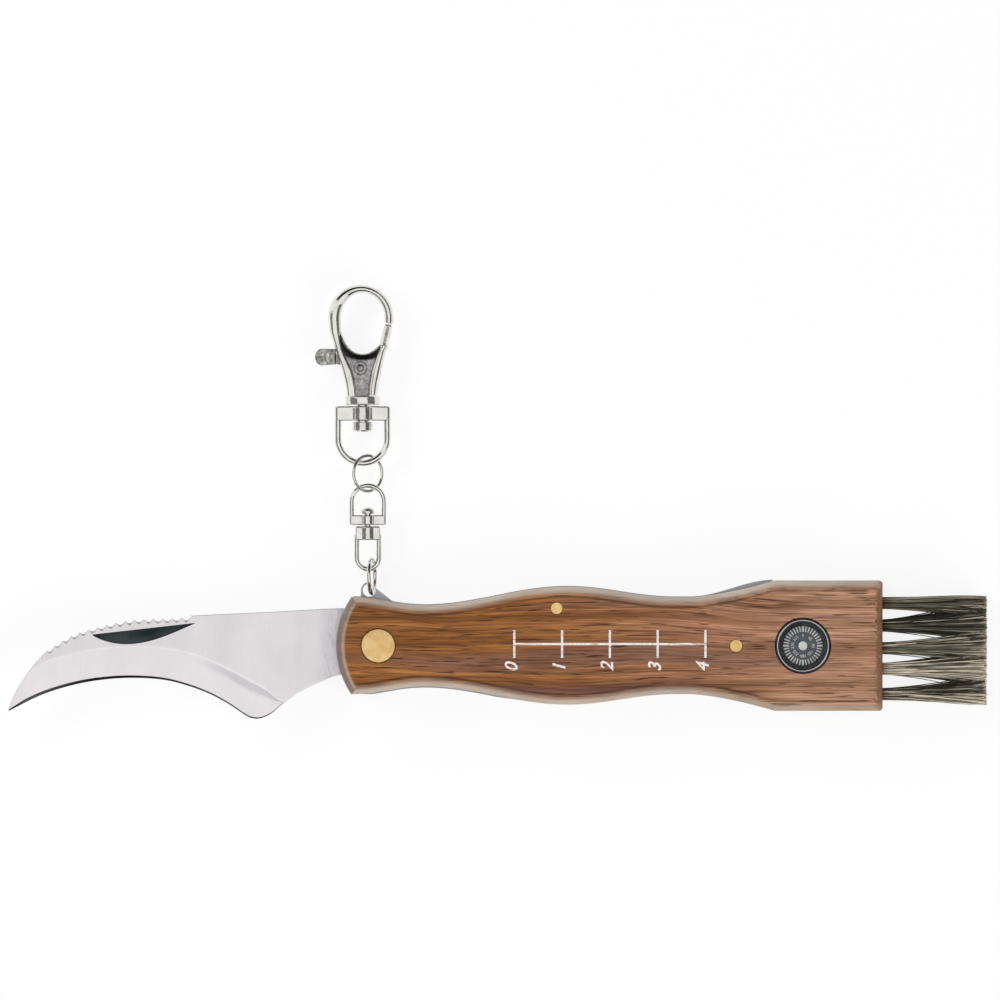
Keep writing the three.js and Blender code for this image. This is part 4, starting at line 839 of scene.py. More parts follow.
piece("compass_dial_marks", together(marks), mark_white, "compass_dial")

point_steel = steel_material("point_steel", (0.5, 0.5, 0.51), 0.3, 2.0, 0.002)
refinished("compass_point", point_steel)
refinished("trigger_spring", point_steel)

# The brush.
# Boar bristle set in fifteen tufts, three rows of five, glued into holes in the butt. Each bristle is a little
# bent and paler at its tip, with painted shade darkening its root, and the tufts lean outwards and close up into
# one brush; the fourth tuft is painted darker, as painted shade.
bristle_root, bristle_tip, bristle_trim = 104.2, 127.58, 0.8
tuft_count, tuft_radius, bristles_in_tuft, locks_in_tuft = 5, 1.16, 160, 11
# Each tuft's tone; the fourth tuft's much darker tone is painted shade.
tuft_tones_and_shade = (0.0, 0.06, 0.05, -0.42, 0.03)
spread, spread_power = (2.0, 1.5), 1.5
lock_stray, bristle_stray, lock_bow, bristle_bow = (1.0, 0.4), (0.35, 0.18), 0.12, 0.2
brush_low, brush_high, brush_half = -12.35, 10.35, 1.75
bristle_steps, bristle_sides = 7, 4
bristle_thick, bristle_fine, thickness_range = 0.12, 0.075, (0.75, 1.2)
middle_tone, bristle_tone, lock_tone, lock_trim = 0.46, 0.2, 0.25, 0.18
bristle_order = np.random.default_rng(7)


def bristle_shells(row_level):
    """One row's bristles as one array. A bristle starts at a random place in its tuft, its offset from the
    tuft's axis grows by the spread, it leans with one of its tuft's locks and strays a little from it, bows in
    the middle of its run, and narrows; four points make each ring."""
    draw, locks = bristle_order, (tuft_count, locks_in_tuft)
    count = tuft_count * bristles_in_tuft
    tuft = np.repeat(np.arange(tuft_count), bristles_in_tuft)
    turn = draw.uniform(0, 2 * np.pi, count)
    reach = tuft_radius * np.sqrt(draw.uniform(0, 1, count))
    root = np.column_stack([reach * np.cos(turn), reach * np.sin(turn)])
    member = tuft, draw.integers(0, locks_in_tuft, count)
    lock = (draw.normal(0, 1, (*locks, 2)) * lock_stray)[member]
    tip = root * spread + lock + draw.normal(0, 1, (count, 2)) * bristle_stray
    middle_y = tuft_middles[tuft]
    tip[:, 0] = np.clip(tip[:, 0], brush_low - middle_y, brush_high - middle_y)
    tip[:, 1] = np.clip(tip[:, 1], -brush_half, brush_half)
    bow = draw.normal(0, bristle_bow, (count, 2)) + draw.normal(0, lock_bow, (*locks, 2))[member]
    length = bristle_tip - bristle_root - draw.uniform(0, bristle_trim, count)
    length -= np.abs(draw.normal(0, lock_trim, locks))[member]
    run = np.linspace(0, 1, bristle_steps + 1)
    share = run[None, :, None] ** spread_power
    axis = np.column_stack([middle_y, np.full(count, row_level)])[:, None]
    middle = axis + root[:, None] * (1 - share) + tip[:, None] * share + bow[:, None] * 4 * share ** 2 * (1 - share)
    x = bristle_root + length[:, None] * run
    radius = bristle_thick + (bristle_fine - bristle_thick) * run
    radius = radius * draw.uniform(*thickness_range, count)[:, None]
    corner = np.arange(bristle_sides) * np.pi / 2 + 0.4
    ring = np.column_stack([np.zeros(bristle_sides), np.cos(corner), np.sin(corner)])
    centre = np.concatenate([x[:, :, None], middle], axis=-1)
    points = centre[:, :, None, :] + radius[:, :, None, None] * ring
    index = np.arange(points.size // 3).reshape(points.shape[:3])
    near, far = index[:, :-1], index[:, 1:]
    walls = np.stack([near, np.roll(near, -1, axis=2), np.roll(far, -1, axis=2), far], axis=-1).reshape(-1, 4)
    ends = np.concatenate([index[:, 0, ::-1], index[:, -1]])
    tone = middle_tone + draw.normal(0, bristle_tone, count) + np.array(tuft_tones_and_shade)[tuft]
    tone += draw.normal(0, lock_tone, locks)[member]
    tones = {
        "tone": np.repeat(tone, (bristle_steps + 1) * bristle_sides),
        "run": np.tile(np.repeat(run, bristle_sides), count),
    }
    faces, points = np.concatenate([walls, ends])[:, ::-1].tolist(), points.reshape(-1, 3)
    return (points, outward(points, faces)), tones


look = Finish("bristle")
run = look.stored("run")
speckle = look.combined("SUBTRACT", look.noise((0.35, 2.5, 2.5)), 0.5)
tone = look.combined("ADD", look.stored("tone"), look.product(speckle, 0.5))
body_tone = look.toned(
    tone, (0.1, (0.02, 0.019, 0.012)), (0.38, (0.085, 0.078, 0.052)), (0.6, (0.2, 0.185, 0.135)),
    (0.78, (0.42, 0.38, 0.29)), (0.95, (0.8, 0.7, 0.56)),
)
tip_tone = look.toned(tone, (0.2, (0.06, 0.05, 0.034)), (0.5, (0.4, 0.34, 0.25)), (0.8, (0.95, 0.86, 0.7)))
color = look.tinted(look.between(run, 0.6, 1.0, 0.0, 0.7), body_tone, tip_tone)
# Painted shade darkens each bristle near its root.
root_shade = look.between(run, 0.0, 0.12, 0.45, 1.0)
shade = added(look.tree, "CombineXYZ", dict.fromkeys("XYZ", root_shade)).outputs["Vector"]
bristle_brown = look.surface(look.tinted(1.0, color, shade, "MULTIPLY"), 0.42, Specular_IOR_Level=0.45)
for number, row_level in enumerate(tuft_rows, 1):
    shell, tones = bristle_shells(row_level)
    nodes = [f"bristle_row_{number}"]
    piece(f"bristles_{number}", shell, bristle_brown, "handle", nodes, None, tones=tones)

# The blade.
# A hawkbill blade of stainless steel with a hollow-ground edge, a fish scaler of sixteen teeth filed along its
# back, and a nail nick struck into its face. The polishing belt left fine upright marks. Its round tang turns on
# the pivot between the liners.
blade_reach, blade_drop, blade_root = 77.6, 15.3, -3.0
blade_level, blade_half, edge_half, tip_blunt = 7.2, 1.0, 0.02, 0.15
bevel_places = (-77.5, -74.0, -60.0, -45.0, -30.0, -18.0, -10.0)
bevel_runs = (0.3, 0.75, 0.62, 0.45, 0.36, 0.22, 0.1)
grind_run, grind_sunk, grind_power = 5.0, 0.85, 1.25
taper_run, taper_least = 22, 0.35
heel_start, heel_rise, heel_end, heel_fall = -41, 12, -17.5, 3
back_shares = [
    (1, -0.882), (0.983, -0.673), (0.957, -0.451), (0.927, -0.248), (0.894, -0.075), (0.849, 0.078), (0.802, 0.19),
    (0.753, 0.261), (0.702, 0.324), (0.651, 0.366), (0.575, 0.386), (0.494, 0.412), (0.29, 0.461), (0.09, 0.51),
    (0, 0.474),
]
grind_shares = [
    (1, -0.89), (0.974, -0.62), (0.927, -0.3), (0.834, -0.124), (0.741, -0.033), (0.661, -0.007), (0.586, -0.026),
    (0.506, -0.105), (0.432, -0.248), (0.37, -0.405), (0.308, -0.575), (0.253, -0.765), (0.165, -0.516),
    (0.09, -0.39), (0, -0.4),
]
edge_shares = [
    (1, -0.9), (0.908, -0.673), (0.816, -0.529), (0.729, -0.458), (0.648, -0.442), (0.573, -0.473), (0.506, -0.562),
    (0.45, -0.673), (0.401, -0.81), (0.363, -0.938), (0.345, -0.987), (0.323, -1), (0.302, -0.967), (0.283, -0.908),
    (0.253, -0.778), (0.215, -0.641), (0.165, -0.516), (0.103, -0.4), (0.04, -0.42), (0, -0.44),
]
tooth_start, tooth_pitch, tooth_depth, tooth_count, tooth_sink = -blade_reach * 0.894, 1.975, 0.62, 16, 0.3
nick_start, nick_end, nick_top, nick_rise = -59.9, -38.2, 2.3, 2.45
nick_sag, nick_depth, nick_skew = 2.9, 0.5, 0.8
blade_columns, fine_points = 1100, 20000


def through(stops, slope, run, at):
    """A smooth line at some places of a run, from the stops at its marks and their slopes: between two
    neighbours it is the cubic that meets both with their slopes."""
    i = np.searchsorted(run[1:-1], at)
    step = run[i + 1] - run[i]
    t = (at - run[i]) / step
    if stops.ndim > 1:
        step, t = step[:, None], t[:, None]
    start = (1 + 2 * t) * (1 - t) ** 2 * stops[i] + t * (1 - t) ** 2 * step * slope[i]
    return start + t * t * (3 - 2 * t) * stops[i + 1] + t * t * (t - 1) * step * slope[i + 1]


def blade_height(shares, x):
    """A smooth height over x through a list of shares of the blade's reach and drop. The slope at a stop is that
    of the line through its two neighbours, or through the one that an end has."""
    at, height = (np.array(shares) * [-blade_reach, blade_drop]).T
    before, after = np.arange(len(at)) - 1, np.arange(len(at)) + 1
    before[0], after[-1] = 0, len(at) - 1
    slope = (height[after] - height[before]) / (at[after] - at[before])
    return through(height, slope, at, x)


def blade_shell():
    """The blade as columns from tip to root, evenly spaced along its back. Each column is a ring that climbs
    the front face (edge, narrow bevel, grind, flat, nick, flat, back) and comes down the rear face without the
    nick. The grind sinks less where it is narrow; the nick's floor falls in a straight slope from its arc to
    its top line; a gullet is half a sine wave off the back, and the teeth sink as the square of their run. With
    the shell come four tones of its points: the painted shade of the bevel and the back's chamfer, the grind's
    painted sheen, the painted highlight and shade along the line between grind and flat, and the nick."""
    fine = np.linspace(tip_blunt - blade_reach, blade_root, fine_points)
    steps = np.hypot(np.diff(fine), np.diff(blade_height(back_shares, fine)))
    length = np.concatenate([[0.0], np.cumsum(steps)])
    x = np.interp(np.linspace(0, length[-1], blade_columns), length, fine)
    run = np.interp(x, fine, length) - np.interp(tooth_start, fine, length)
    toothed = (run > 0) & (run < tooth_pitch * tooth_count)
    gullet = np.where(toothed, tooth_depth * np.abs(np.sin(np.pi * run / tooth_pitch)), 0.0)
    sink = np.where(toothed, tooth_sink * (run / (tooth_pitch * tooth_count)) ** 2, 0.0)
    edge = blade_height(edge_shares, x)
    back = np.maximum(blade_height(back_shares, x) - gullet - sink, edge + 2 * tip_blunt)
    grind = np.clip(blade_height(grind_shares, x), edge + tip_blunt, back - tip_blunt)
    taper = np.clip((x + blade_reach) / taper_run, 0, 1)
    taper = taper_least + (1 - taper_least) * taper ** 2 * (3 - 2 * taper)
    flat = blade_half * taper
    foot_half = flat - grind_sunk * taper * (1 - np.exp(-np.maximum(grind - edge - tip_blunt, 0) / grind_run))
    bevel = np.minimum(np.interp(x, bevel_places, bevel_runs), 0.5 * (grind - edge))
    heel = np.clip((x - heel_start) / heel_rise, 0, 1) * np.clip((heel_end - x) / heel_fall, 0, 1)
    hollow = grind - edge - bevel

    def row(height, half, edge_shade=0.0, grind_sheen=0.0, crest_light_and_shade=0.0, nick=0.0):
        return [x, height, blade_level + half, edge_shade, grind_sheen, crest_light_and_shade, nick]

    # The bevel's rows carry painted shade.
    rows = [row(edge, np.minimum(edge_half, foot_half), 1.0, 1.0)]
    rows.append(row(edge + 0.94 * bevel, foot_half - 0.01, 1.0, 1.0))
    for share in np.linspace(0.0, 0.93, 14):
        # Painted shade beside the grind's line at the heel, stored as negative values.
        sunk = -heel * np.clip((share - 0.62) / 0.16, 0, 1)
        half = foot_half + (flat - foot_half) * share ** grind_power
        rows.append(row(edge + bevel + hollow * share, half, 0.0, 1.0, sunk))
    # A painted highlight along the line between grind and flat.
    rows.append(row(grind - 0.035 * hollow, flat - 0.035 * (flat - foot_half), 0.0, 0.9, 0.5))
    rows.append(row(grind, flat, 0.0, 0.5, 1.0))
    grind_rows = len(rows)
    nick_share = np.clip((x - nick_start) / (nick_end - nick_start), 0, 1)
    line = nick_top + nick_rise * (x - nick_start) / (nick_end - nick_start)
    line = np.clip(line, grind + 0.3 * (back - grind), grind + 0.93 * (back - grind))
    drop = nick_sag * np.sin(np.pi * nick_share ** nick_skew)
    sagging = drop > 1e-6
    foot = np.where(sagging, line - drop, grind + 0.8 * (line - grind))
    foot = np.maximum(foot, grind + 0.1 * (line - grind))
    deep = nick_depth * np.clip(drop / 0.8, 0, 1)
    face = foot - grind
    rows.append(row(grind + np.minimum(0.2, 0.15 * face), flat, 0.0, 0.2, 0.35))
    rows.append(row(grind + np.minimum(0.6, 0.3 * face), flat))
    first_nick = len(rows)
    rows.append(row(foot - 0.02 * sagging, flat))
    for share in (0.0, 0.06, 0.35, 0.65, 0.94, 0.99):
        half = flat - deep * (0.3 + 0.7 * share) * (share > 0)
        rows.append(row(foot + (line - foot) * share, half, nick=(drop > 0.1) * 1.0))
    rows.append(row(line + 0.03, flat))
    last_nick = len(rows) - 1
    chamfer = 0.1 + 0.5 * gullet
    rows.append(row(line + 0.5 * (back - chamfer - line), flat))
    rows.append(row(back - chamfer, flat))
    # The back's chamfer and gullets carry painted shade.
    rows.append(row(back - 0.9 * chamfer, flat - 0.1 * chamfer, 0.45))
    rows.append(row(back, flat - np.minimum(chamfer, 0.75 * taper), 0.45))
    front = np.array([[np.broadcast_to(value, x.shape) for value in entry] for entry in rows]).transpose(2, 0, 1)
    plain = [number for number in range(0, len(rows), 2) if not first_nick < number < last_nick]
    kept = sorted({*plain, 1, grind_rows - 1, len(rows) - 3, len(rows) - 1}, reverse=True)
    rear = front[:, kept] * [1, 1, -1, 1, 1, 1, 0] + [0, 0, 2 * blade_level, 0, 0, 0, 0]
    rings = np.concatenate([front, rear], axis=1)
    points, faces = skinned_shell(rings[..., :3])
    return points, faces, np.concatenate([rings[..., 3:].reshape(-1, 4), np.zeros((2, 4))])


tang_radius, tang_hole, tang_flat, tang_turn = 7.19, 2.15, 6.89, math.radians(-164)
tang_half, tang_edge, tang_sides = blade_half - 0.02, 0.06, 160


def tang_shell():
    """The tang: a round plate with its bore and one flat, a ring of points that goes out along the outer
    circle, cut off by the flat's line, and back round the bore."""
    around = circle(1.0, tang_sides)
    over = around @ [-math.sin(tang_turn), math.cos(tang_turn)]
    outer = around * np.where(over > tang_flat / tang_radius, tang_flat / np.maximum(over, 0.1), tang_radius)[:, None]
    drawn, bore = outer * (1 - tang_edge / tang_radius), tang_hole * around
    loops = (bore, drawn, outer, outer, drawn, bore)
    wall = tang_half - tang_edge
    levels = blade_level + np.array([-tang_half, -tang_half, -wall, wall, tang_half, tang_half])
    return skinned_shell([at_level(loop, level) for loop, level in zip(loops, levels)], closed=True)


def blade_material():
    """Satin stainless steel. Belt marks run up the blade as a noise stretched along Y, and the light and dark of
    the steel shift along its length. The grind is painted brighter than the flat as painted sheen, a painted
    highlight runs along the line between them, and painted shade lies beside it at the heel. The bevel and the
    filed back chamfers and gullets are painted dark as painted shade, the nick is dull and painted dark as
    shade in its recess, and the root has a stain that is painted darker towards the handle as painted shade."""
    look = Finish("blade_steel")
    marks = look.noise((3.4, 0.06, 0.06), detail=4.0, roughness=0.7)
    broad = look.noise((0.1, 0.05, 0.05), detail=3.0, roughness=0.55)
    # Painted sheen: the grind is painted brighter than the flat.
    color = look.tinted(look.stored("grind_sheen"), (0.82, 0.787, 0.797), (0.885, 0.85, 0.86))
    color = look.shaded(color, broad, (0.3, (0.93, 0.93, 0.94)), (0.7, (1.05, 1.04, 1.04)))
    color = look.shaded(color, marks, (0.25, 0.94), (0.75, 1.04))
    crest_light_and_shade, nick = look.stored("crest_light_and_shade"), look.stored("nick")
    # A painted highlight along the line between grind and flat, and painted shade beside it at the heel.
    color = look.tinted(look.between(crest_light_and_shade, 0.0, 1.0, 0.0, 0.6), color, (0.95, 0.91, 0.915))
    color = look.tinted(look.between(crest_light_and_shade, -1.0, 0.0, 0.7, 0.0), color, (0.6, 0.58, 0.63))
    # The root's mottled stain, painted darker towards the handle as painted shade.
    stain = look.noise((0.9, 0.3, 0.5), detail=4.0, roughness=0.7)
    root_stain_and_shade = look.toned(stain, (0.35, (0.5, 0.48, 0.51)), (0.5, (0.68, 0.65, 0.67)), (0.65, (0.57, 0.555, 0.595)))
    color = look.tinted(look.along("X", -13.5, -9.5, 0.0, 0.85), color, root_stain_and_shade)
    # Painted shade: the bevel and the back's chamfers and gullets are painted dark.
    color = look.tinted(look.stored("bevel"), color, (0.1, 0.105, 0.105))
    # Painted shade in the nick's recess: its colour is painted dark, and its gloss is duller.
    struck = look.noise((0.1, 0.35, 0.3), detail=1.0)
    dark = look.toned(struck, (0.35, (0.032, 0.047, 0.052)), (0.65, (0.09, 0.11, 0.115)))
    gloss = look.combined("ADD", look.between(marks, 0.2, 0.8, 0.25, 0.36), look.product(nick, 0.2))
    return look.surface(look.tinted(nick, color, dark), gloss, marks, 0.004, Metallic=1.0)


*plate, tones = blade_shell()
tang = tang_shell()
tones = np.concatenate([tones, np.zeros((len(tang[0]), 4))]).T
tones = dict(zip(("bevel", "grind_sheen", "crest_light_and_shade", "nick"), tones))
piece("blade_steel", together([plate, tang]), blade_material(), "blade", ["blade"], 18, tones=tones)

# The jump ring and the lower swivel.
# A ring of thin plated wire hangs in the lug's hole. Above it a swivel: a wire loop cast in one with a
# barrel-shaped block, through which a domed pin is riveted.
chain_level = 3.65
nickel = polished_material("nickel", (0.82, 0.805, 0.765), 0.07, 0.02)
lug_ring_centre, lug_ring_radius, lug_ring_wire, lug_ring_turn = (-1.35, 14.5, 4.7), 3.55, 0.45, math.radians(80)
swivel_place, swivel_height, swivel_foot, swivel_head = -2.2, 18.36, 22.06, 25.01
pin_radius, pin_bore = 0.8, 0.95
dome_radius, dome_foot, dome_rim, dome_head = 1.4, 27.61, 28.11, 29.01


def wire_shell(path, wire, upright, closed=False, flatness=1.0, sides=28):
    """A wire along a plane path: at each point an ellipse across the path, half as wide as given in the path's
    plane and, times the flatness, along the plane's upright."""
    path, upright = np.asarray(path, dtype=float), np.asarray(upright, dtype=float)
    if closed:
        along = np.roll(path, -1, axis=0) - np.roll(path, 1, axis=0)
    else:
        along = np.gradient(path, axis=0)
    along /= np.linalg.norm(along, axis=1)[:, None]
    across = np.cross(upright, along)
    across /= np.linalg.norm(across, axis=1)[:, None]
    wide, tall = circle(1.0, sides).T[:, None, :, None] * wire
    return skinned_shell(path[:, None] + wide * across[:, None] + flatness * tall * upright, closed)


def ring_shell(centre, radius, wire, turned, steps=96):
    """A wire ring in the chain's plane, turned about Y."""
    side = [math.cos(turned), 0.0, -math.sin(turned)]
    path = np.array(centre) + circle(radius, steps) @ np.array([side, [0.0, 1.0, 0.0]])
    return wire_shell(path, wire, [math.sin(turned), 0.0, math.cos(turned)], closed=True, sides=24)


def bow_shell(place, height, radius, arm, side, wire, flatness=1.15):
    """A U of wire in the chain's plane: half a circle about its centre and two straight arms away from it."""
    bend = arc((0.0, 0.0), (radius, side * radius), np.pi, 0.0, 60)
    left = [-radius, 0.0] - np.linspace(1.0, 0.0, 8)[:-1, None] * [0.0, side * arm]
    path = np.concatenate([left, bend, (left * [-1, 1])[::-1]]) + [place, height]
    return wire_shell(at_level(path, chain_level), wire, [0, 0, 1], flatness=flatness)


def barrel_shell(place, low, high, half, depth, end_depth, edge):
    """A bar swollen to a barrel round its bore: in plan its half depth is that of a circle, blended by a sixth
    power mean into the thinner ends, which are rounded; the top and the foot draw in by a quarter circle."""
    share = np.concatenate([np.linspace(-1, 1, 90), np.linspace(1, -1, 90)])
    side = np.repeat([1.0, -1.0], 90)
    rounding = np.sqrt(np.clip(1 - np.clip((np.abs(share) - 0.86) / 0.14, 0, 1) ** 2, 0.0, 1))
    swell = np.sqrt(np.clip(depth ** 2 - (share * half) ** 2, 0, None))
    swell = np.minimum((swell ** 6 + end_depth ** 6) ** (1 / 6), depth)
    turn = np.linspace(0, np.pi / 2, 7)
    inset, rise = edge * (1 - np.sin(turn)), edge * (1 - np.cos(turn))
    insets = np.concatenate([inset, inset[::-1]])[:, None]
    levels = np.concatenate([low + rise, high - rise[::-1]])[:, None]
    x = share * (half - insets)
    z = side * np.maximum(swell - insets, 0.12) * np.maximum(rounding, 0.12)
    return skinned_shell(np.stack([place + x, levels + 0 * x, chain_level + z], axis=-1))


def turned_along_y(profile, place, sides=56):
    """A shell turned about an axis along Y in the chain's plane: profile points (radius, height)."""
    points, faces = turned_shell(profile, sides=sides)
    return np.column_stack([points[:, 0] + place, points[:, 2], chain_level - points[:, 1]]), faces


def carved(shell, cutters):
    """A shell less some others, cut on a scratch object."""
    scratch = cut_by(mesh_of("scratch", shell), cutters)
    points, faces = shell_of(scratch.data)
    bpy.data.objects.remove(scratch)
    return points / MM, faces


def chain_piece(name, shells, body, node, material=nickel):
    """A plated piece of the chain: its shells as one mesh."""
    piece(name, together(shells), material, body, [node], 28)


def cast_link(name, place, bar, bore, bow, body, node):
    """A cast link: a bow of wire and a swollen bar, bored along the chain, as one piece. The bar is given by its
    foot, head, half width, half depth, end's half depth and edge, the bow by its height, radius, arm's length,
    side, wire and flatness."""
    foot, head = bar[0] - 1, bar[1] + 1
    cutter = rod_shell(bore, (place, foot, chain_level), (place, head, chain_level))
    chain_piece(name, [bow_shell(place, *bow), carved(barrel_shell(place, *bar), [cutter])], body, node)


lug_ring = ring_shell(lug_ring_centre, lug_ring_radius, lug_ring_wire, lug_ring_turn)
chain_piece("jump_ring_wire", [lug_ring], "jump_ring", "jump_ring")
swivel_bar = (swivel_foot, swivel_head, 2.67, 1.3, 0.8, 0.35)
swivel_bow = (swivel_height, 2.31, swivel_foot - swivel_height + 1.2, -1, 0.55)
cast_link("lower_swivel_casting", swivel_place, swivel_bar, pin_bore, swivel_bow, "lower_swivel", "lower_swivel_loop")
dome = arc((0.0, dome_rim), (dome_radius, dome_head - dome_rim), 0.0, 1.5, 9)
profile = [(pole, swivel_foot), (pin_radius, swivel_foot), (pin_radius, dome_foot), (dome_radius - 0.15, dome_foot),
           (dome_radius, dome_foot + 0.12), *dome, (pole, dome_head)]
chain_piece("lower_swivel_rivet", [turned_along_y(profile, swivel_place)], "lower_swivel", "lower_swivel_pin")

# The small shackle, the link ring and the large shackle.
# Each shackle is cast as a U of wire closed by a flat bar with a bore: the small one turns on the swivel's pin,
# the large one carries the hook's post. A thinner ring, tilted as it lies, links their bows.
small_foot, small_height = 25.26, 30.16
small_bar = (small_foot, 27.36, 3.89, 1.3, 0.62, 0.3)
small_bow = (small_height, 3.37, small_height - small_foot - 0.25, 1, 0.52)
link_centre, link_radius, link_wire, link_turn = (-2.2, 36.08, 3.65), 3.75, 0.37, math.radians(38)
hook_place, post_bore = -3.3, 1.6
large_height, large_head = 43.38, 50.18
large_bar = (47.08, large_head, 5.85, 2.1, 0.85, 0.35)
large_bow = (large_height, 5.15, large_head - large_height - 0.3, -1, 0.7, 1.1)
cast_link("small_shackle_casting", swivel_place, small_bar, pin_bore, small_bow, "small_shackle", "small_shackle")
link_ring = ring_shell(link_centre, link_radius, link_wire, link_turn)
chain_piece("link_ring_wire", [link_ring], "link_ring", "link_ring")
cast_link("large_shackle_casting", hook_place, large_bar, post_bore, large_bow, "large_shackle", "large_shackle")

# The hook.
# A trigger snap hook die-cast in zinc and plated with nickel: a round loop that runs down into two bright
# rails, a sunk dull panel between them, and a collar. Its post is riveted through the large shackle's bar.
hook_foot = 52.33
collar_radius, collar_edge, collar_foot = 3.65, 0.3, hook_foot - 1.9
loop_centre, loop_radii = np.array([-0.38, 16.3]), np.array([6.9, 7.0])
eye_centre, eye_radii = np.array([0.0, 15.2]), np.array([4.55, 6.35])
eye_lift = np.array([0.0, 0.9])
arch_points, left_points, right_points = 120, 70, 60
loop_depth, rail_depth = 1.7, 2.25
loop_power, left_power = 2.15, 4.2
panel_level, panel_back, panel_drop = 1.12, -2.0, 0.7
slot_low, slot_high = -1.45, 0.86
rail_overlap, floor_overlap, floor_gap, web_top = 0.45, 0.4, 0.2, 12.5


def in_hook(shell):
    """A shell, its points across and up from the top of the collar, carried to the hook's place in the knife."""
    return shell[0] + [hook_place, hook_foot, chain_level], shell[1]


def rail_shell(outer, inner, deep, power=loop_power, sides=40, crease=None):
    """A cast rail between an outer and an inner line of equal counts: across the middle line lies a superellipse
    as wide as the lines are apart, of the given depth and power (one number or one a point). A crease sinks a
    narrow bell into it at its place."""
    middle, half = (outer + inner) / 2, np.linalg.norm(outer - inner, axis=1) / 2
    across = (outer - inner) / (2 * half)[:, None]
    around = circle(1.0, sides).T[:, None]
    power = 2 / np.broadcast_to(power, (len(middle),))[:, None]
    wide, tall = np.sign(around) * np.abs(around) ** power
    if crease is not None:
        tall = tall * (1 - 0.13 * np.exp(-((wide - crease) / 0.1) ** 2))
    plan = middle[:, None] + (half[:, None] * wide)[..., None] * across[:, None]
    level = np.broadcast_to(deep, (len(middle),))[:, None] * tall
    return in_hook(skinned_shell(np.concatenate([plan, level[..., None]], axis=-1)))


def smooth_line(stops, count):
    """A smooth line through stops, at even shares of the run from stop to stop."""
    stops = np.array(stops, dtype=float)
    run = np.concatenate([[0.0], np.cumsum(np.linalg.norm(np.diff(stops, axis=0), axis=1))])
    return through(stops, np.gradient(stops, run, axis=0), run, np.linspace(0, run[-1], count))


outer_arch = arc(loop_centre, loop_radii, math.radians(-11), np.pi, arch_points)
inner_arch = arc(eye_centre + eye_lift, eye_radii - eye_lift, math.radians(-7), np.pi, arch_points)
left_outer = smooth_line([
    outer_arch[-1], (-6.95, 13.6), (-6.0, 10.6), (-5.44, 8.93), (-4.24, 4.93), (-3.5, 1.8), (-3.3, 0.1),
], left_points)
left_inner = smooth_line([
    inner_arch[-1], (-4.45, 13.2), (-4.25, 10.8), (-3.84, 8.93), (-2.85, 6.9), (-1.97, 4.93), (-1.45, 2.5),
    (-1.2, 0.1),
], left_points)
right_outer = smooth_line([(5.1, 9.9), (4.9, 8.93), (4.05, 4.93), (3.35, 1.4), (3.2, 0.1)], right_points)
right_inner = smooth_line([
    (3.3, 9.5), (2.98, 8.93), (2.2, 6.9), (1.51, 4.93), (1.12, 2.5), (0.95, 0.1),
], right_points)
left_rail = rail_shell(
    np.concatenate([outer_arch, left_outer[1:]]), np.concatenate([inner_arch, left_inner[1:]]),
    np.concatenate([np.full(arch_points, loop_depth), np.linspace(loop_depth, rail_depth, left_points - 1)]),
    np.concatenate([np.full(arch_points, loop_power), np.linspace(loop_power, left_power, left_points - 1)]),
)
right_rail = rail_shell(right_outer, right_inner, rail_depth, sides=96, crease=-0.4)
floor_outer, floor_inner = (
    arc(eye_centre, eye_radii + out, math.radians(196), math.radians(306), 60) for out in (0.5, -0.06)
)
eye_floor = rail_shell(floor_outer, floor_inner, 1.9, 2.0, 24)


def web_shell(low, high, sunk):
    """A plate between the rails, from the collar to the eye's floor: its rings run across the body, and its front
    face falls away below the eye by the sunk depth along half a cosine wave. Its width and its height depend on
    each other, so they settle in a few turns of the loop. With it comes the share of painted shade on its slope."""
    rise = np.linspace(0, 1, 60)[:, None]
    share = np.linspace(0, 1, 26)
    y = rise * 9.0 + 0 * share
    for _ in range(12):
        left = np.interp(y, left_inner[::-1, 1], left_inner[::-1, 0]) - rail_overlap
        right = np.interp(y, right_inner[::-1, 1], right_inner[::-1, 0]) + rail_overlap
        x = left + (right - left) * share
        floor = np.sqrt(np.clip(1 - ((x - eye_centre[0]) / (eye_radii[0] + floor_overlap)) ** 2, 0, 1))
        top = eye_centre[1] - eye_radii[1] * floor - floor_gap
        y = (y + (1 - (1 - rise) ** 1.6) * np.minimum(top, web_top)) / 2
    below = (top - y) / (1.2 + 0.1 * x ** 2)
    front = np.stack([x, y, high - sunk * (1 - np.cos(np.pi * np.clip(below, 0, 1))) / 2], axis=-1)
    back = np.stack([x, y, np.full_like(x, low)], axis=-1)[::-1]
    shell = in_hook(skinned_shell(np.concatenate([front, back]).transpose(1, 0, 2)))
    # The slope's share of painted shade.
    slope = np.clip(np.minimum(below / 0.15, (1.15 - below) / 0.3), 0, 1) * (sunk > 0)
    return shell, np.concatenate([np.concatenate([slope, 0 * slope]).T.reshape(-1), [0.0, 0.0]])


def slotted(shell, low, high):
    """A rail with the trigger's slot cut through it between two heights."""
    return carved(shell, [in_hook(bar_shell((-9.0, low, slot_low), (9.0, high, slot_high)))])


profile = [
    (pole, collar_foot),
    *arc((collar_radius - collar_edge, collar_foot + collar_edge), collar_edge, -np.pi / 2, 0.0, 5),
    *arc((collar_radius - collar_edge, hook_foot - collar_edge), collar_edge, 0.0, np.pi / 2, 5),
    (pole, hook_foot),
]
collar = turned_along_y(profile, hook_place, 96)
casting = together([slotted(left_rail, 3.4, 10.3), slotted(right_rail, 5.4, 11.5), eye_floor, collar])
piece("hook_casting", casting, nickel, "hook", ["hook_body"], 32)

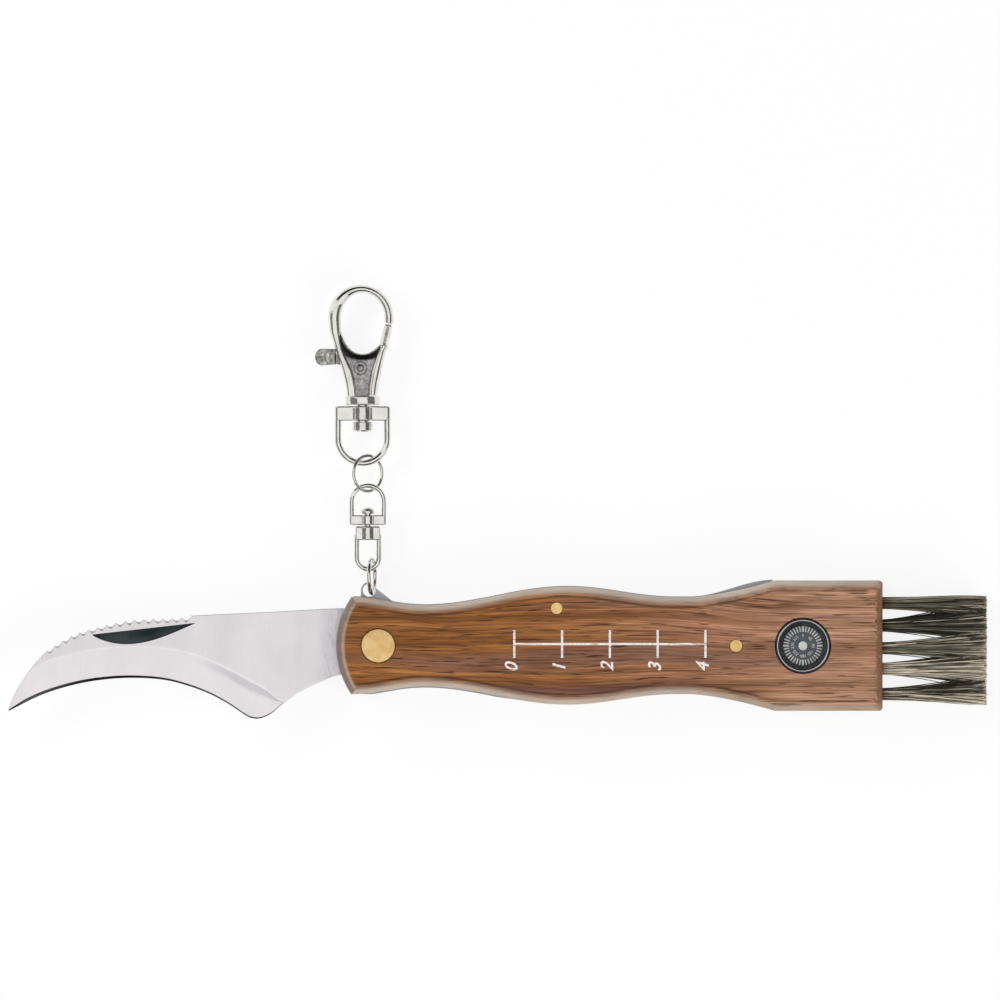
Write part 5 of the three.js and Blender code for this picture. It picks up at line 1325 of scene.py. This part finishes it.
front_web, front_slope = web_shell(slot_high, panel_level + panel_drop, panel_drop)
rear_web, rear_slope = web_shell(panel_back, slot_low, 0.0)
look = Finish("hook_panel")
grit = look.noise(1.3, detail=4.0, roughness=0.7)
color = look.toned(grit, (0.3, (0.2, 0.195, 0.2)), (0.5, (0.4, 0.39, 0.395)), (0.7, (0.75, 0.73, 0.7)))
# Painted shade on the slope below the eye, painted nearly black.
color = look.tinted(look.product(look.stored("sunk"), 0.95), color, (0.025, 0.026, 0.023))
panel_metal = look.surface(color, look.between(grit, 0.3, 0.7, 0.3, 0.45), grit, 0.05, Metallic=1.0)
tones = {"sunk": np.concatenate([front_slope, rear_slope])}
piece("hook_panels", together([front_web, rear_web]), panel_metal, "hook", ["hook_body"], 28, tones=tones)

post_radius, post_head, post_foot, post_shoulder = 1.45, 2.1, 44.83, 46.83
post_edge, shoulder_edge, post_top = 0.3, 0.15, collar_foot + 0.05
profile = [
    (pole, post_foot), (post_head - post_edge, post_foot), (post_head, post_foot + post_edge),
    (post_head, post_shoulder - shoulder_edge), (post_head - shoulder_edge, post_shoulder),
    (post_radius, post_shoulder), (post_radius, post_top), (pole, post_top),
]
chain_piece("hook_post_rivet", [turned_along_y(profile, hook_place)], "hook", "hook_post")

rivet_place = (hook_place - 0.45, hook_foot + 5.8)
rivet_radius, rivet_head = 0.72, 0.8
rivet_high, rivet_low = chain_level + panel_level, chain_level + panel_back - 0.12
seat_radius, seat_wire = 1.35, 0.15
profile = [(pole, rivet_low), (rivet_radius, rivet_low), (rivet_radius, rivet_high - 0.05),
           (rivet_head, rivet_high - 0.05), *arc((0.0, rivet_high + 0.12), (rivet_head, 0.36), 0.0, 1.5, 8)]
seat_path = at_level(circle(seat_radius, 72) + rivet_place, rivet_high)
rivet_seat = wire_shell(seat_path, seat_wire, [0, 0, 1], closed=True, sides=14)
rivet = turned_shell(profile, rivet_place, 56)
chain_piece("trigger_rivet_head", [rivet, rivet_seat], "hook", "trigger_rivet", panel_metal)

# The trigger.
# One cast lever turns on the hook's rivet: a thumb tab with ribs cast in its face sticks out on the left, and
# a grooved arm closes the loop's mouth on the right.
gate_foot, gate_tip = np.array([4.3, 9.9]), np.array([5.48, 15.0])
gate_half, gate_depth = 0.9, 1.25
gate_profile = np.array([
    (-1, -0.5), (-0.8, -0.8), (0.8, -0.8), (1, -0.5), (1, 0.4), (0.7, 0.8), (0.35, 0.8), (0, 0.1), (-0.35, 0.8),
    (-0.7, 0.8), (-1, 0.4),
])
gate_sizes = np.array([0.95, 1.15, 1.15, 1.0, 0.62, 0.62, 1.0, 1.0, 0.8, 0.45])
lever_half, lever_edge = 0.7, 0.1
hub_place, hub_size = (-0.45, 5.8), 1.55
tab_left, tab_right, tab_low, tab_high, tab_half, tab_edge = -9.95, -5.6, 6.35, 9.9, 1.2, 0.35
tab_bend, tab_middle = 1.5, (tab_low + tab_high) / 2
rib_count, rib_wire, rib_start, rib_pitch = 3, 0.2, 1.15, 1.0
rib_inset, rib_hook, rib_bulge, rib_sunk = 0.45, 0.45, 0.15, 0.02


def gate_shell():
    """The gate: a bar between two points with a pointed groove along its front, a knuckle at its foot and its
    far end rounded."""
    length = np.linalg.norm(gate_tip - gate_foot)
    along = (gate_tip - gate_foot) / length
    across = np.array([along[1], -along[0]])
    run = np.array([0.0, 0.1, 0.55, 0.65, 0.72, 0.9, 0.98, length - 0.4, length - 0.15, length])
    sized = gate_sizes[:, None, None] * gate_profile * [gate_half, gate_depth]
    plan = gate_foot + run[:, None, None] * along + sized[..., :1] * across
    return in_hook(skinned_shell(np.concatenate([plan, sized[..., 1:]], axis=-1)))


def lever_plate(corners, half=lever_half, edge=lever_edge):
    """A flat lever part over a plan loop, its edges rounded over."""
    return in_hook(slab_shell(corners, -half, half, edge))


hub = lever_plate(hub_place + circle(hub_size, 40), edge=0.05)
arm = lever_plate([(-0.45, 5.0), (4.9, 9.3), (5.1, 10.6), (3.55, 10.6), (-0.45, 7.4)])
tab_root = lever_plate([(-0.45, 5.3), (-0.45, 7.4), (-2.0, 7.6), (-6.6, 9.2), (-6.6, 7.0)])
tab_size = (tab_bend, (tab_high - tab_low) / 2)
thumb = arc((tab_left + tab_bend, tab_middle), tab_size, np.pi / 2, 3 * np.pi / 2, 22)
tab_loop = np.concatenate([thumb, [(tab_right, tab_low + 0.25), (tab_right, tab_high - 0.1)]])
tab = lever_plate(tab_loop, tab_half, tab_edge)
ribs = []
for rib in range(rib_count):
    x = tab_left + rib_start + rib_pitch * rib
    stops = [(x + rib_hook, tab_low + rib_inset), (x - rib_bulge, tab_middle), (x + rib_hook, tab_high - rib_inset)]
    for level in (rib_sunk - tab_half, tab_half - rib_sunk):
        path = at_level(smooth_line(stops, 16), level)
        ribs.append(in_hook(wire_shell(path, rib_wire, [0, 0, 1], sides=12)))
look = Finish("cast_nickel")
pits = look.noise(0.8, detail=3.0, roughness=0.6)
color = look.toned(pits, (0.32, (0.13, 0.126, 0.115)), (0.5, (0.36, 0.35, 0.325)), (0.68, (0.75, 0.73, 0.68)))
cast_nickel = look.surface(color, look.between(pits, 0.3, 0.7, 0.14, 0.3), pits, 0.1, Metallic=1.0)
chain_piece("trigger_tab", [tab_root, tab, *ribs], "trigger", "trigger", cast_nickel)
chain_piece("trigger_gate", [hub, arm, gate_shell()], "trigger", "trigger")
